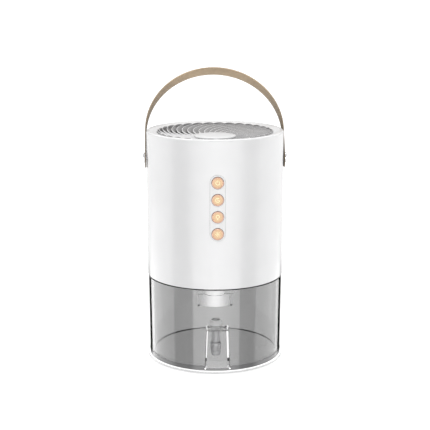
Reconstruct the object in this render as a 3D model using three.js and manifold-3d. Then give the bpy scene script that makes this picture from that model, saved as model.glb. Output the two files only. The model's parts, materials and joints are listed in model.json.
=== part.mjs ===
// A small thermoelectric dehumidifier: a white cylindrical head with a strap handle, standing on a clear
// smoke-grey water tank. Millimetres, +Z up, front at -Y, origin at the centre of the underside of the feet.
//
// From top to bottom the head holds a spiral outlet grille, a fan, a hot heatsink, a thermoelectric module in
// a foam gasket, a cold heatsink and a drip tray whose nozzle hangs into the tank.

import * as THREE from "three";
import { mergeVertices } from "three/addons/utils/BufferGeometryUtils.js";
import Module from "manifold-3d";

const wasm = await Module();
wasm.setup();

// ---------------------------------------------------------------- driving dimensions

const BODY_R = 70; // outer radius of the head
const BODY_TOP = 238; // height of the head's rim above the floor
const SEAM_Z = 88; // where the head meets the tank
const WALL = 2.2; // moulded wall thickness
const GAP = 0.3; // clearance between neighbouring pieces
const TAU = 2 * Math.PI;
const ROUND = 48; // facets round the large shells
const SMALL_ROUND = 24; // facets round mid-sized turned pieces
const PIN_ROUND = 12; // facets round pins and screws

// Tank
const FOOT_HEIGHT = 0.5;
const BASE_BOTTOM = FOOT_HEIGHT + GAP;
const BASE_TOP = 2.7;
const BASE_R = BODY_R + 0.3;
const TANK_BOTTOM = BASE_TOP + GAP;
const TANK_TOP = 87.2;
const TANK_BOTTOM_R = 68.6;
const TANK_TOP_R = 69.5;
const TANK_WALL = 4;
const TANK_FLOOR = 2.8;
const MOUTH_R = TANK_TOP_R - TANK_WALL;

// Drain niche: an alcove in the front of the tank, open at the front, standing on the tank's floor
const NICHE = { bottomHalf: 12.2, topHalf: 11, bottomBack: -46, topBack: -52, roof: 45, wall: 2 };
const SPOUT_X = -1.4;
const SPOUT_Y = -56.9;

// Head
const HEAD_BOTTOM = SEAM_Z + GAP;
const INNER_R = BODY_R - WALL;
const CHASSIS_TOP = 91;
const GRILLE_R = 58.7; // tips of the outlet vanes
const RIM_FLAT = 4.2; // from the outer wall to the inner end of the flat top of the rim
const RIM_DISH = 1.8; // how far the rim slopes down from its outer edge to the vane tips
const HUB_R = 21.4; // white disc in the middle of the outlet
const HUB_TOP = 232.4;
const VANES = 32;
const VANE_SWEEP = 46; // degrees that a vane turns clockwise from hub to tip

// Nozzle and probes that hang into the tank
const NOZZLE_R = 10;
const NOZZLE_BELL_R = 15;
const NOZZLE_SHOULDER = 64.5;
const NOZZLE_BOTTOM = 52;
const BELL_DEPTH = 0.5; // the bell is an oval, half as deep as it is wide
const PROBE_X = 17.2;
const PROBE_TIP = 50.7;

// Cooling stack, from the module outwards
const MODULE = { side: 40, bottom: 155.9, height: 3.8 };
const HOT = { side: 84, bottom: 160, base: 5, top: 195.6, fins: 13, fin: 1.5 };
const COLD = { width: 76, depth: 64, base: 4, bottom: 131.5, fins: 11, fin: 1.5, finSpan: 56 };
const PLATE_BOTTOM = 196; // mounting plate of the inner frame
const PLATE_TOP = 199;

// Fan
const FAN = { side: 92, height: 25, bore: 43.5, holes: 41.25, hub: 19.5, tip: 42.3, blades: 7 };
const FAN_BOTTOM = PLATE_TOP + GAP;
const FAN_TOP = FAN_BOTTOM + FAN.height;

// Controls
const BUTTON_Z = [195.9, 178.9, 161.9, 144.9];
const BUTTON_NAMES = ["power", "timer", "light", "fan"];
const BUTTON_R = 5.85;
const BUTTON_FACE = -70.9; // y of a button's face
const BUTTON_BACK = -64.6;
const BEZEL_HALF_WIDTH = 7.6;
const BOARD_FRONT = -59.6;
const BOARD_THICKNESS = 1.6;

// Handle: a strap bent to straight legs and a half circle, turning on a rivet at each side
const PIVOT_Z = 209.4;
const HANDLE_LEAN = 33; // degrees backwards from upright, as stored
const STRAP = { width: 16, thickness: 1.2, radius: 70.98, leg: 28.2, tail: 11 };
const RIVET_SHANK_R = 2;
const RIVET_HEAD_R = 5.4;

// ---------------------------------------------------------------- materials

const plastic = (color, roughness) => new THREE.MeshStandardMaterial({ color, roughness, metalness: 0 });
const metal = (color, roughness) => new THREE.MeshStandardMaterial({ color, roughness, metalness: 1 });

const WHITE = plastic(0xf4f4f4, 0.25);
const TRANSLUCENT = plastic(0xe8e8e8, 0.35);
const GREY = plastic(0x9a9899, 0.45);
const BLACK = plastic(0x202022, 0.5);
const PEACH = plastic(0xfbd3a4, 0.3);
const SILICONE = plastic(0xd8d8d6, 0.7);
const RUBBER = plastic(0x3a3a3c, 0.9);
const FOAM = plastic(0x55565a, 0.95);
const BOARD_GREEN = plastic(0x1f6b45, 0.5);
const CERAMIC = plastic(0xf2f2ee, 0.6);
const RED_WIRE = plastic(0xb3261e, 0.5);
const STRAP_TAN = plastic(0xb0a084, 0.7);
const CHROME = metal(0xd6d6d8, 0.15);
const STEEL = metal(0xb8bcc0, 0.35);
const ALUMINIUM = metal(0xc4c7ca, 0.4);
const SMOKE = new THREE.MeshStandardMaterial({
  color: 0x9c9c9e,
  roughness: 0.05,
  metalness: 0,
  transparent: true,
  opacity: 0.45,
});

// ---------------------------------------------------------------- shape helpers

// A closed geometry as a solid, turned the right way out.
function solidOf(geometry) {
  const bare = new THREE.BufferGeometry();
  bare.setAttribute("position", geometry.getAttribute("position"));
  bare.setIndex(geometry.index);
  const merged = mergeVertices(bare, 1e-4);
  const p = merged.attributes.position;
  const triangles = [];
  const a = new THREE.Vector3();
  const b = new THREE.Vector3();
  const c = new THREE.Vector3();
  let volume = 0;
  for (let i = 0; i < merged.index.count; i += 3) {
    const [u, v, w] = [0, 1, 2].map((k) => merged.index.getX(i + k));
    if (u === v || v === w || u === w) continue;
    triangles.push([u, v, w]);
    a.fromBufferAttribute(p, u);
    b.fromBufferAttribute(p, v);
    c.fromBufferAttribute(p, w);
    volume += a.dot(b.cross(c));
  }
  const facing = volume < 0 ? triangles.map(([u, v, w]) => [u, w, v]) : triangles;
  return new wasm.Manifold(
    new wasm.Mesh({ numProp: 3, vertProperties: p.array, triVerts: new Uint32Array(facing.flat()) }),
  );
}

// A solid as a three.js geometry.
function geometryOf(solid) {
  const mesh = solid.getMesh();
  const geometry = new THREE.BufferGeometry();
  geometry.setAttribute("position", new THREE.BufferAttribute(new Float32Array(mesh.vertProperties), 3));
  geometry.setIndex(new THREE.BufferAttribute(new Uint32Array(mesh.triVerts), 1));
  geometry.computeVertexNormals();
  return geometry;
}

// A profile of [radius, z] points, closed on itself, turned round the Z axis.
function turned(profile, facets = SMALL_ROUND) {
  const points = [...profile, profile[0]].map(([r, z]) => new THREE.Vector2(Math.max(r, 0), z));
  return solidOf(new THREE.LatheGeometry(points, facets).rotateX(Math.PI / 2));
}

function block([x0, y0, z0], [x1, y1, z1]) {
  const box = new THREE.BoxGeometry(x1 - x0, y1 - y0, z1 - z0);
  return solidOf(box.translate((x0 + x1) / 2, (y0 + y1) / 2, (z0 + z1) / 2));
}

// A round bar between two points, with a second radius if it tapers.
function rod(from, to, radius, facets = PIN_ROUND, endRadius = radius) {
  const start = new THREE.Vector3(...from);
  const end = new THREE.Vector3(...to);
  const bar = new THREE.CylinderGeometry(endRadius, radius, start.distanceTo(end), facets);
  const turn = new THREE.Quaternion().setFromUnitVectors(
    new THREE.Vector3(0, 1, 0),
    end.clone().sub(start).normalize(),
  );
  bar.applyQuaternion(turn);
  const middle = start.add(end).multiplyScalar(0.5);
  return solidOf(bar.translate(middle.x, middle.y, middle.z));
}

// A solid through sections of the same number of corners, capped at both ends.
function loft(sections) {
  const corners = sections[0].length;
  const vertices = sections.flat(2);
  const index = [];
  for (let s = 0; s < sections.length - 1; s++) {
    for (let k = 0; k < corners; k++) {
      const here = s * corners + k;
      const next = s * corners + ((k + 1) % corners);
      index.push(here, next, next + corners, here, next + corners, here + corners);
    }
  }
  const last = (sections.length - 1) * corners;
  for (let k = 1; k < corners - 1; k++) {
    index.push(0, k + 1, k, last, last + k, last + k + 1);
  }
  const geometry = new THREE.BufferGeometry();
  geometry.setAttribute("position", new THREE.Float32BufferAttribute(vertices, 3));
  geometry.setIndex(index);
  return solidOf(geometry);
}

// A flat outline in the XZ plane, pushed along Y from y0 to y1.
function pushedAlongY(shape, y0, y1, curveSegments = 8) {
  const geometry = new THREE.ExtrudeGeometry(shape, { depth: y1 - y0, bevelEnabled: false, curveSegments });
  return solidOf(geometry.rotateX(Math.PI / 2).translate(0, y1, 0));
}

// A round tube along a smooth curve through some points.
function tube(points, radius, steps) {
  const section = new THREE.Shape().absarc(0, 0, radius, 0, TAU);
  const extrudePath = new THREE.CatmullRomCurve3(points.map((p) => new THREE.Vector3(...p)));
  return solidOf(new THREE.ExtrudeGeometry(section, { steps, extrudePath, curveSegments: 4 }));
}

const joined = (solids) => solids.reduce((sum, one) => sum.add(one));
const cut = (solid, cutters) => cutters.reduce((rest, one) => rest.subtract(one), solid);
const movedTo = (solid, x, y, z) => solid.translate([x, y, z]);
const polar = (radius, degrees, z = 0) => {
  const angle = THREE.MathUtils.degToRad(degrees);
  return [radius * Math.cos(angle), radius * Math.sin(angle), z];
};

const dehumidifier = new THREE.Group();

function addPiece(name, solid, material, parent = dehumidifier) {
  const mesh = new THREE.Mesh(geometryOf(solid), material.clone());
  mesh.name = name;
  parent.add(mesh);
  return mesh;
}

// ---------------------------------------------------------------- base and feet

function makeBase() {
  const plate = turned(
    [
      [0, BASE_BOTTOM],
      [BASE_R - 1, BASE_BOTTOM],
      [BASE_R, BASE_BOTTOM + 0.7],
      [BASE_R, BASE_TOP - 0.5],
      [BASE_R - 0.5, BASE_TOP],
      [0, BASE_TOP],
    ],
    ROUND,
  );
  addPiece("base_plate", plate, WHITE);
  const footCircle = 52;
  const footR = 7;
  for (let k = 0; k < 4; k++) {
    const [x, y] = polar(footCircle, 45 + 90 * k);
    addPiece(`foot_pad_${k + 1}`, rod([x, y, 0], [x, y, FOOT_HEIGHT], footR, 20), RUBBER);
  }
}

// ---------------------------------------------------------------- tank

// A niche-shaped wedge from a height z up, grown by some thickness on its sides, back and roof.
function nicheWedge(grow, bottom) {
  const front = -BODY_R - 5;
  const section = (half, back, z) => [
    [-half - grow, front, z],
    [half + grow, front, z],
    [half + grow, back + grow, z],
    [-half - grow, back + grow, z],
  ];
  return loft([
    section(NICHE.bottomHalf, NICHE.bottomBack, bottom),
    section(NICHE.topHalf, NICHE.topBack, NICHE.roof + grow),
  ]);
}

function makeTank() {
  const foot = [
    [0, TANK_BOTTOM],
    [TANK_BOTTOM_R - 1.4, TANK_BOTTOM],
    [TANK_BOTTOM_R, TANK_BOTTOM + 1.4],
    [TANK_TOP_R, TANK_TOP],
  ];
  const floorTop = TANK_BOTTOM + TANK_FLOOR;
  const shell = turned(
    [
      ...foot,
      [MOUTH_R, TANK_TOP],
      [TANK_BOTTOM_R - TANK_WALL, floorTop + 3],
      [TANK_BOTTOM_R - TANK_WALL - 3, floorTop],
      [0, floorTop],
    ],
    ROUND,
  );
  const envelope = turned([...foot, [0, TANK_TOP]], ROUND);
  const alcove = nicheWedge(NICHE.wall, TANK_BOTTOM).intersect(envelope);
  const spoutHole = rod([SPOUT_X, SPOUT_Y, NICHE.roof - 2], [SPOUT_X, SPOUT_Y, NICHE.roof + 5], 4.8, 20);
  addPiece("tank_shell", cut(shell.add(alcove), [nicheWedge(0, floorTop), spoutHole]), SMOKE);
}

// A flanged spout through the niche's roof. Its flange and seal lie inside the tank, and a cap closes its tip.
function makeDrain() {
  const roofTop = NICHE.roof + NICHE.wall;
  const flangeR = 7.8;
  const sealBottom = roofTop + GAP;
  const sealTop = sealBottom + 1;
  const flangeBottom = sealTop + GAP;
  const neckR = 4.4;
  const neckEnd = 30.2;
  const barbR = 3;
  const barbEnd = 20.5;
  const boreR = 1.8;
  const spout = turned(
    [
      [boreR, barbEnd],
      [barbR - 0.6, barbEnd],
      [barbR, barbEnd + 2],
      [barbR, neckEnd],
      [neckR, neckEnd],
      [neckR, flangeBottom],
      [flangeR, flangeBottom],
      [flangeR, flangeBottom + 3.6],
      [flangeR - 1.4, flangeBottom + 5.6],
      [boreR, flangeBottom + 6.4],
    ],
    20,
  );
  addPiece("drain_spout", movedTo(spout, SPOUT_X, SPOUT_Y, 0), SMOKE);

  const seal = turned(
    [
      [neckR + GAP, sealBottom],
      [flangeR - 0.2, sealBottom],
      [flangeR - 0.2, sealTop],
      [neckR + GAP, sealTop],
    ],
    24,
  );
  addPiece("drain_seal", movedTo(seal, SPOUT_X, SPOUT_Y, 0), SILICONE);

  const capTop = neckEnd - GAP;
  const capBottom = 16.4;
  const cap = turned(
    [
      [0, capBottom],
      [4.4, capBottom],
      [5, capBottom + 3],
      [4.6, capBottom + 5],
      [5.5, capBottom + 6.4],
      [5.5, capTop - 1],
      [4.9, capTop],
      [barbR + GAP, capTop],
      [barbR + GAP, barbEnd - 1],
      [0, barbEnd - 1],
    ],
    20,
  );
  addPiece("drain_cap", movedTo(cap, SPOUT_X, SPOUT_Y, 0), SMOKE);
}

// ---------------------------------------------------------------- housing and chassis

const BOSS_ANGLES = [0, 120, 240];
const BOSS_CIRCLE = 58;
const JACK_Z = 104;

// Vertical slots through the back of the housing, in two rows.
function intakeSlots() {
  const slotHalf = 1.5;
  const columns = 9;
  const columnStep = 7.5;
  const rows = [
    [114, 136],
    [142, 164],
  ];
  const slots = [];
  for (let column = 0; column < columns; column++) {
    const turn = (column - (columns - 1) / 2) * columnStep;
    for (const [low, high] of rows) {
      const slot = block([-slotHalf, INNER_R - 4, low], [slotHalf, BODY_R + 4, high]);
      slots.push(slot.rotate([0, 0, turn]));
    }
  }
  return slots;
}

function stadium(halfWidth, low, high) {
  const shape = new THREE.Shape();
  shape.absarc(0, high - halfWidth, halfWidth, 0, Math.PI, false);
  shape.absarc(0, low + halfWidth, halfWidth, Math.PI, TAU, false);
  shape.closePath();
  return shape;
}

const BEZEL_LOW = BUTTON_Z[3] - BEZEL_HALF_WIDTH;
const BEZEL_HIGH = BUTTON_Z[0] + BEZEL_HALF_WIDTH;
const bezelOutline = (grow) => stadium(BEZEL_HALF_WIDTH + grow, BEZEL_LOW - grow, BEZEL_HIGH + grow);

const BOARD = { half: 12.4, low: 134, high: 206 };
const boardCorners = () =>
  [-1, 1].flatMap((side) => [BOARD.low + 5, BOARD.high - 5].map((z) => [side * (BOARD.half - 2.2), z]));

function makeHousing() {
  const edge = 2.2; // rounding of the rim
  const rim = [0, 30, 60, 90].map((t) => {
    const angle = THREE.MathUtils.degToRad(t);
    return [BODY_R - edge + edge * Math.cos(angle), BODY_TOP - edge + edge * Math.sin(angle)];
  });
  const lipUnder = BODY_TOP - 2.6;
  const openingR = GRILLE_R + 0.7;
  const shell = turned(
    [
      [BODY_R - 0.4, HEAD_BOTTOM],
      [BODY_R, HEAD_BOTTOM + 0.5],
      ...rim,
      [BODY_R - RIM_FLAT, BODY_TOP],
      [openingR, BODY_TOP - RIM_DISH],
      [openingR, lipUnder],
      [INNER_R, lipUnder],
      [INNER_R, HEAD_BOTTOM],
    ],
    ROUND,
  );
  const bosses = BOSS_ANGLES.map((angle) => {
    const [x, y] = polar(BOSS_CIRCLE, angle);
    const post = rod([x, y, CHASSIS_TOP + GAP], [x, y, CHASSIS_TOP + 11], 4, PIN_ROUND);
    const web = block([BOSS_CIRCLE, -1.5, CHASSIS_TOP + GAP], [INNER_R + 0.6, 1.5, CHASSIS_TOP + 11]);
    const pilot = rod([x, y, CHASSIS_TOP], [x, y, CHASSIS_TOP + 10], 1.8);
    return cut(post.add(web.rotate([0, 0, angle])), [pilot]);
  });
  const jackHole = rod([0, INNER_R - 6, JACK_Z], [0, BODY_R + 4, JACK_Z], 5.6, 20);
  const rivetHoles = rod([-BODY_R - 4, 0, PIVOT_Z], [BODY_R + 4, 0, PIVOT_Z], RIVET_SHANK_R + GAP);
  const panel = pushedAlongY(bezelOutline(GAP), -BODY_R - 4, -INNER_R + 12);
  const boardPosts = boardCorners().map(([x, z]) => rod([x, -INNER_R, z], [x, BOARD_FRONT - GAP, z], 1.6, 10));
  const openings = [...intakeSlots(), jackHole, rivetHoles, panel];
  addPiece("housing_shell", cut(joined([shell, ...bosses, ...boardPosts]), openings), WHITE);
}

function makeChassis() {
  const plateR = INNER_R - 0.4;
  const plateBottom = SEAM_Z + 0.4;
  const skirtOut = MOUTH_R - 0.7;
  const skirtIn = skirtOut - 2.4;
  const skirtBottom = 86;
  const plate = turned(
    [
      [NOZZLE_R + 0.4, plateBottom],
      [skirtIn, plateBottom],
      [skirtIn, skirtBottom],
      [skirtOut, skirtBottom],
      [skirtOut, plateBottom],
      [plateR, plateBottom],
      [plateR, CHASSIS_TOP],
      [NOZZLE_R + 0.4, CHASSIS_TOP],
    ],
    ROUND,
  );
  const probeHoles = [-1, 1].map((side) => {
    const x = side * PROBE_X;
    return rod([x, 0, plateBottom - 2], [x, 0, CHASSIS_TOP + 2], 1.6);
  });
  const screwHoles = BOSS_ANGLES.map((angle) => {
    const [x, y] = polar(BOSS_CIRCLE, angle);
    return rod([x, y, plateBottom - 2], [x, y, CHASSIS_TOP + 2], 1.9);
  });
  addPiece("chassis_plate", cut(plate, [...probeHoles, ...screwHoles]), WHITE);

  BOSS_ANGLES.forEach((angle, k) => {
    const [x, y] = polar(BOSS_CIRCLE, angle);
    const headBottom = plateBottom - GAP - 1.8;
    const head = rod([x, y, headBottom], [x, y, plateBottom - GAP], 2.9);
    const shank = rod([x, y, plateBottom - 1], [x, y, CHASSIS_TOP + 8.5], 1.5);
    addPiece(`chassis_screw_${k + 1}`, head.add(shank), STEEL);
  });

  // A flat gasket under the plate, round the skirt, rests on the tank's rim.
  const sealTop = plateBottom - 0.4;
  const seal = turned(
    [
      [skirtOut + 0.4, TANK_TOP + GAP],
      [TANK_TOP_R - 0.3, TANK_TOP + GAP],
      [TANK_TOP_R - 0.3, sealTop],
      [skirtOut + 0.4, sealTop],
    ],
    ROUND,
  );
  addPiece("head_seal", seal, RUBBER);
}

// ---------------------------------------------------------------- drip tray, nozzle, light and level probes

function makeDripParts() {
  const flangeBottom = CHASSIS_TOP + GAP;
  const flangeTop = flangeBottom + 1.2;
  const boreR = 6;
  const tube = turned(
    [
      [boreR, flangeTop],
      [14.2, flangeTop],
      [14.2, flangeBottom],
      [NOZZLE_R, flangeBottom],
      [NOZZLE_R, NOZZLE_SHOULDER],
      [boreR, NOZZLE_SHOULDER],
    ],
    SMALL_ROUND,
  );
  const bellOutside = turned(
    [
      [0, NOZZLE_BOTTOM],
      [NOZZLE_BELL_R - 0.4, NOZZLE_BOTTOM],
      [NOZZLE_BELL_R, NOZZLE_SHOULDER - 0.6],
      [NOZZLE_BELL_R - 0.6, NOZZLE_SHOULDER + 0.01],
      [0, NOZZLE_SHOULDER + 0.01],
    ],
    SMALL_ROUND,
  ).scale([1, BELL_DEPTH, 1]);
  const bellInside = turned(
    [
      [0, NOZZLE_BOTTOM - 1],
      [NOZZLE_BELL_R - 2, NOZZLE_BOTTOM - 1],
      [NOZZLE_BELL_R - 2, NOZZLE_SHOULDER - 2],
      [0, NOZZLE_SHOULDER - 2],
    ],
    SMALL_ROUND,
  ).scale([1, BELL_DEPTH * 0.9, 1]);
  const bellBore = rod([0, 0, NOZZLE_SHOULDER - 4], [0, 0, NOZZLE_SHOULDER + 2], 5);
  const bell = cut(bellOutside, [bellInside, bellBore]);
  const wings = [-1, 1].map((side) => {
    const inner = side * (NOZZLE_R - 1.5);
    const outer = side * (PROBE_X + 2.4);
    const low = [Math.min(inner, outer), -2.6, NOZZLE_SHOULDER];
    const high = [Math.max(inner, outer), 2.6, NOZZLE_SHOULDER + 5.5];
    const hole = rod([side * PROBE_X, 0, low[2] - 2], [side * PROBE_X, 0, high[2] + 2], 1.5);
    return cut(block(low, high), [hole]);
  });
  addPiece("drip_nozzle", joined([tube, bell, ...wings]), TRANSLUCENT);

  for (const [side, name] of [
    [-1, "left"],
    [1, "right"],
  ]) {
    const x = side * PROBE_X;
    const stem = rod([x, 0, PROBE_TIP], [x, 0, flangeBottom + 1], 1.15, 12);
    const head = rod([x, 0, flangeBottom], [x, 0, flangeBottom + 1.8], 2.4, 12);
    addPiece(`level_probe_${name}`, stem.add(head), STEEL);
  }

  // The night light: a ring of lamps on a small board that shines down into the milky nozzle.
  const lightBottom = flangeTop + GAP;
  const lightTop = lightBottom + 0.9;
  const light = turned([
    [boreR + 0.8, lightBottom],
    [13.8, lightBottom],
    [13.8, lightTop],
    [boreR + 0.8, lightTop],
  ]);
  addPiece("night_light_ring", light, BOARD_GREEN);

  const trayUnder = lightTop + GAP;
  const trayRim = 126;
  const spigotR = boreR - GAP;
  const tray = turned([
    [4.2, SEAM_Z],
    [spigotR, SEAM_Z],
    [spigotR, trayUnder],
    [18, trayUnder],
    [50, 103],
    [52, trayRim],
    [50.4, trayRim],
    [48.6, 104.8],
    [17.4, trayUnder + 2],
    [4.2, trayUnder + 1.2],
  ]);
  addPiece("drip_tray", tray, WHITE);
}

// ---------------------------------------------------------------- heatsinks, module and inner frame

// A comb outline in XZ: a base with evenly spaced fins, which point down when finEnd is below the base.
function comb(halfWidth, baseFar, baseNear, finEnd, fins, finThickness, finHalfSpan) {
  const shape = new THREE.Shape();
  const pitch = (2 * finHalfSpan - finThickness) / (fins - 1);
  shape.moveTo(-halfWidth, baseFar);
  shape.lineTo(-halfWidth, baseNear);
  for (let k = 0; k < fins; k++) {
    const x = -finHalfSpan + k * pitch;
    if (x > -halfWidth) shape.lineTo(x, baseNear);
    shape.lineTo(x, finEnd);
    shape.lineTo(x + finThickness, finEnd);
    if (x + finThickness < halfWidth) shape.lineTo(x + finThickness, baseNear);
  }
  shape.lineTo(halfWidth, baseNear);
  shape.lineTo(halfWidth, baseFar);
  shape.closePath();
  return shape;
}

function makeCoolingStack() {
  const half = MODULE.side / 2;
  const moduleTop = MODULE.bottom + MODULE.height;
  const hotHalf = HOT.side / 2;
  const hotBaseTop = HOT.bottom + HOT.base;
  const hotOutline = comb(hotHalf, HOT.bottom, hotBaseTop, HOT.top, HOT.fins, HOT.fin, hotHalf - 1);
  const screwX = 34;
  const screwHoles = [-screwX, screwX].map((x) => rod([x, 0, 140], [x, 0, HOT.bottom + 3.6], 1.8));
  const hot = cut(pushedAlongY(hotOutline, -hotHalf, hotHalf), screwHoles);
  addPiece("hot_heatsink", hot, ALUMINIUM);

  addPiece(
    "peltier_module",
    block([-half, -half, MODULE.bottom], [half, half, moduleTop]),
    CERAMIC,
  );

  const foamGap = 0.4;
  const foam = block([-38, -30, MODULE.bottom], [38, 30, moduleTop]);
  const window = block(
    [-half - foamGap, -half - foamGap, MODULE.bottom - 1],
    [half + foamGap, half + foamGap, moduleTop + 1],
  );
  const leadNotch = block([-5, -31, MODULE.bottom - 1], [5, -half, moduleTop + 1]);
  addPiece("insulation_gasket", cut(foam, [window, leadNotch, ...screwHoles]), FOAM);

  const coldTop = MODULE.bottom - GAP;
  const coldOutline = comb(
    COLD.width / 2,
    coldTop,
    coldTop - COLD.base,
    COLD.bottom,
    COLD.fins,
    COLD.fin,
    COLD.finSpan / 2,
  );
  const cold = cut(pushedAlongY(coldOutline, -COLD.depth / 2, COLD.depth / 2), screwHoles);
  addPiece("cold_heatsink", cold, ALUMINIUM);

  for (const [x, name] of [
    [-screwX, "left"],
    [screwX, "right"],
  ]) {
    const headTop = coldTop - COLD.base - GAP;
    const head = rod([x, 0, headTop - 2], [x, 0, headTop], 2.8);
    const shank = rod([x, 0, headTop - 1], [x, 0, HOT.bottom + 3.2], 1.5);
    addPiece(`sink_screw_${name}`, head.add(shank), STEEL);
  }
}

// Four legs on the chassis carry the hot heatsink on ledges, and the fan on a plate.
function makeInnerFrame() {
  const plate = turned(
    [
      [FAN.bore, PLATE_BOTTOM],
      [INNER_R - 0.6, PLATE_BOTTOM],
      [INNER_R - 0.6, PLATE_TOP],
      [FAN.bore, PLATE_TOP],
    ],
    40,
  );
  const ledgeTop = HOT.bottom - GAP;
  const legs = [45, 135, 225, 315].map((angle) => {
    const leg = block([60, -5, CHASSIS_TOP + GAP], [65, 5, PLATE_BOTTOM + 1]);
    const ledge = block([52, -4, ledgeTop - 3], [61, 4, ledgeTop]);
    return leg.add(ledge).rotate([0, 0, angle]);
  });
  const boardNotch = block([-14, -BODY_R, PLATE_BOTTOM - 1], [14, -50, PLATE_TOP + 1]);
  const fanHoles = fanCorners().map(([x, y]) => rod([x, y, PLATE_BOTTOM - 1], [x, y, PLATE_TOP + 1], 2.1));
  const frame = cut(joined([plate, ...legs]), [boardNotch, ...fanHoles]);
  addPiece("inner_frame", frame, BLACK);
}

// ---------------------------------------------------------------- fan

function fanCorners() {
  const signs = [
    [1, 1],
    [-1, 1],
    [-1, -1],
    [1, -1],
  ];
  return signs.map(([sx, sy]) => [sx * FAN.holes, sy * FAN.holes]);
}

function makeFan() {
  const half = FAN.side / 2;
  const corner = 5;
  const square = new THREE.Shape();
  square.absarc(half - corner, half - corner, corner, 0, Math.PI / 2);
  square.absarc(-half + corner, half - corner, corner, Math.PI / 2, Math.PI);
  square.absarc(-half + corner, -half + corner, corner, Math.PI, 1.5 * Math.PI);
  square.absarc(half - corner, -half + corner, corner, 1.5 * Math.PI, TAU);
  square.closePath();
  const outline = new THREE.ExtrudeGeometry(square, { depth: FAN.height, bevelEnabled: false, curveSegments: 4 });
  const outer = solidOf(outline.translate(0, 0, FAN_BOTTOM));
  const bore = rod([0, 0, FAN_BOTTOM - 1], [0, 0, FAN_TOP + 1], FAN.bore, 40);
  const holes = fanCorners().map(([x, y]) => rod([x, y, FAN_BOTTOM - 1], [x, y, FAN_TOP + 1], 2.1));
  const strutTop = FAN_BOTTOM + 3;
  const motorPlate = rod([0, 0, FAN_BOTTOM], [0, 0, strutTop], 17, SMALL_ROUND);
  const struts = [30, 150, 270].map((angle) => {
    const strut = block([12, -2, FAN_BOTTOM], [FAN.bore + 1, 2, strutTop]);
    return strut.rotate([0, 0, angle]);
  });
  addPiece("fan_frame", joined([cut(outer, [bore, ...holes]), motorPlate, ...struts]), BLACK);

  const motorBottom = strutTop + GAP;
  const motor = turned(
    [
      [1.8, motorBottom],
      [14.6, motorBottom],
      [14.6, motorBottom + 13],
      [1.8, motorBottom + 13],
    ],
    24,
  );
  addPiece("fan_motor", motor, STEEL);

  const hubTop = FAN_TOP - 1.5;
  const hubBottom = motorBottom + 0.7;
  const hub = turned(
    [
      [0, hubTop],
      [FAN.hub - 2, hubTop],
      [FAN.hub, hubTop - 2],
      [FAN.hub, hubBottom],
      [FAN.hub - 2, hubBottom],
      [FAN.hub - 2, hubTop - 3],
      [0, hubTop - 3],
    ],
    SMALL_ROUND,
  );
  const bladeTurn = 34; // degrees of twist between a blade's bottom and top edges
  const blades = [];
  for (let k = 0; k < FAN.blades; k++) {
    const start = (360 / FAN.blades) * k;
    const sections = [0, 0.35, 0.7, 1].map((t) => {
      const radius = FAN.hub - 1 + t * (FAN.tip - FAN.hub + 1);
      const lag = -12 * t;
      const low = polar(radius, start + lag, hubBottom + 1);
      const high = polar(radius, start + lag + bladeTurn * (1 - 0.25 * t), hubTop - 1.5);
      return [low, high, [high[0], high[1], high[2] + 1.4], [low[0], low[1], low[2] + 1.4]];
    });
    blades.push(loft(sections));
  }
  addPiece("fan_impeller", joined([hub, ...blades]), BLACK);
  const shaft = rod([0, 0, motorBottom + 2], [0, 0, hubTop - 3 - GAP], 1.5, 12);
  addPiece("fan_shaft", shaft, STEEL);

  fanCorners().forEach(([x, y], k) => {
    const head = rod([x, y, FAN_TOP + GAP], [x, y, FAN_TOP + GAP + 2], 3.4);
    const shank = rod([x, y, PLATE_BOTTOM + 0.4], [x, y, FAN_TOP + GAP + 1], 1.6);
    addPiece(`fan_screw_${k + 1}`, head.add(shank), STEEL);
  });
}

// ---------------------------------------------------------------- outlet grille

// Height of the dished outlet at a radius: flat near the tips, sinking towards the hub.
const dishTop = (radius) => 231.2 + 5.6 * Math.pow((radius - HUB_R) / (GRILLE_R - HUB_R), 1.3);

function makeGrille() {
  const ringIn = 55.5;
  const lip = turned(
    [
      [ringIn, 229.6],
      [62.5, 229.6],
      [62.5, 235],
      [59, 235],
      [57.4, 233.4],
      [ringIn, 232.4],
    ],
    ROUND,
  );
  const hubPlate = turned(
    [
      [0, 226.6],
      [HUB_R + 1, 226.6],
      [HUB_R + 1, HUB_TOP - 1.6],
      [0, HUB_TOP - 1.6],
    ],
    SMALL_ROUND,
  );
  const pitch = 360 / VANES;
  const vanes = [];
  for (let k = 0; k < VANES; k++) {
    const sections = [0, 0.4, 0.7, 1].map((t) => {
      const radius = HUB_R + t * (GRILLE_R - HUB_R);
      const angle = pitch * k - VANE_SWEEP * Math.pow(t, 1.9);
      const crest = dishTop(radius);
      const spread = pitch * 0.62;
      const drop = 4.2;
      return [
        polar(radius, angle, crest),
        polar(radius, angle - spread, crest - drop),
        polar(radius, angle - spread, crest - drop - 1.1),
        polar(radius, angle, crest - 1.1),
      ];
    });
    vanes.push(loft(sections));
  }
  const legs = [39, 129, 219, 309].map((angle) => {
    const [x, y] = polar(57, angle);
    return rod([x, y, FAN_TOP + GAP], [x, y, 230.5], 2, 8);
  });
  addPiece("outlet_grille", joined([lip, hubPlate, ...vanes, ...legs]), GREY);

  const cap = turned([
    [0, HUB_TOP - 1.3],
    [HUB_R, HUB_TOP - 1.3],
    [HUB_R, HUB_TOP - 0.5],
    [HUB_R - 1, HUB_TOP],
    [0, HUB_TOP + 0.3],
  ]);
  addPiece("grille_hub_cap", cap, WHITE);
}

// ---------------------------------------------------------------- controls

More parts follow.
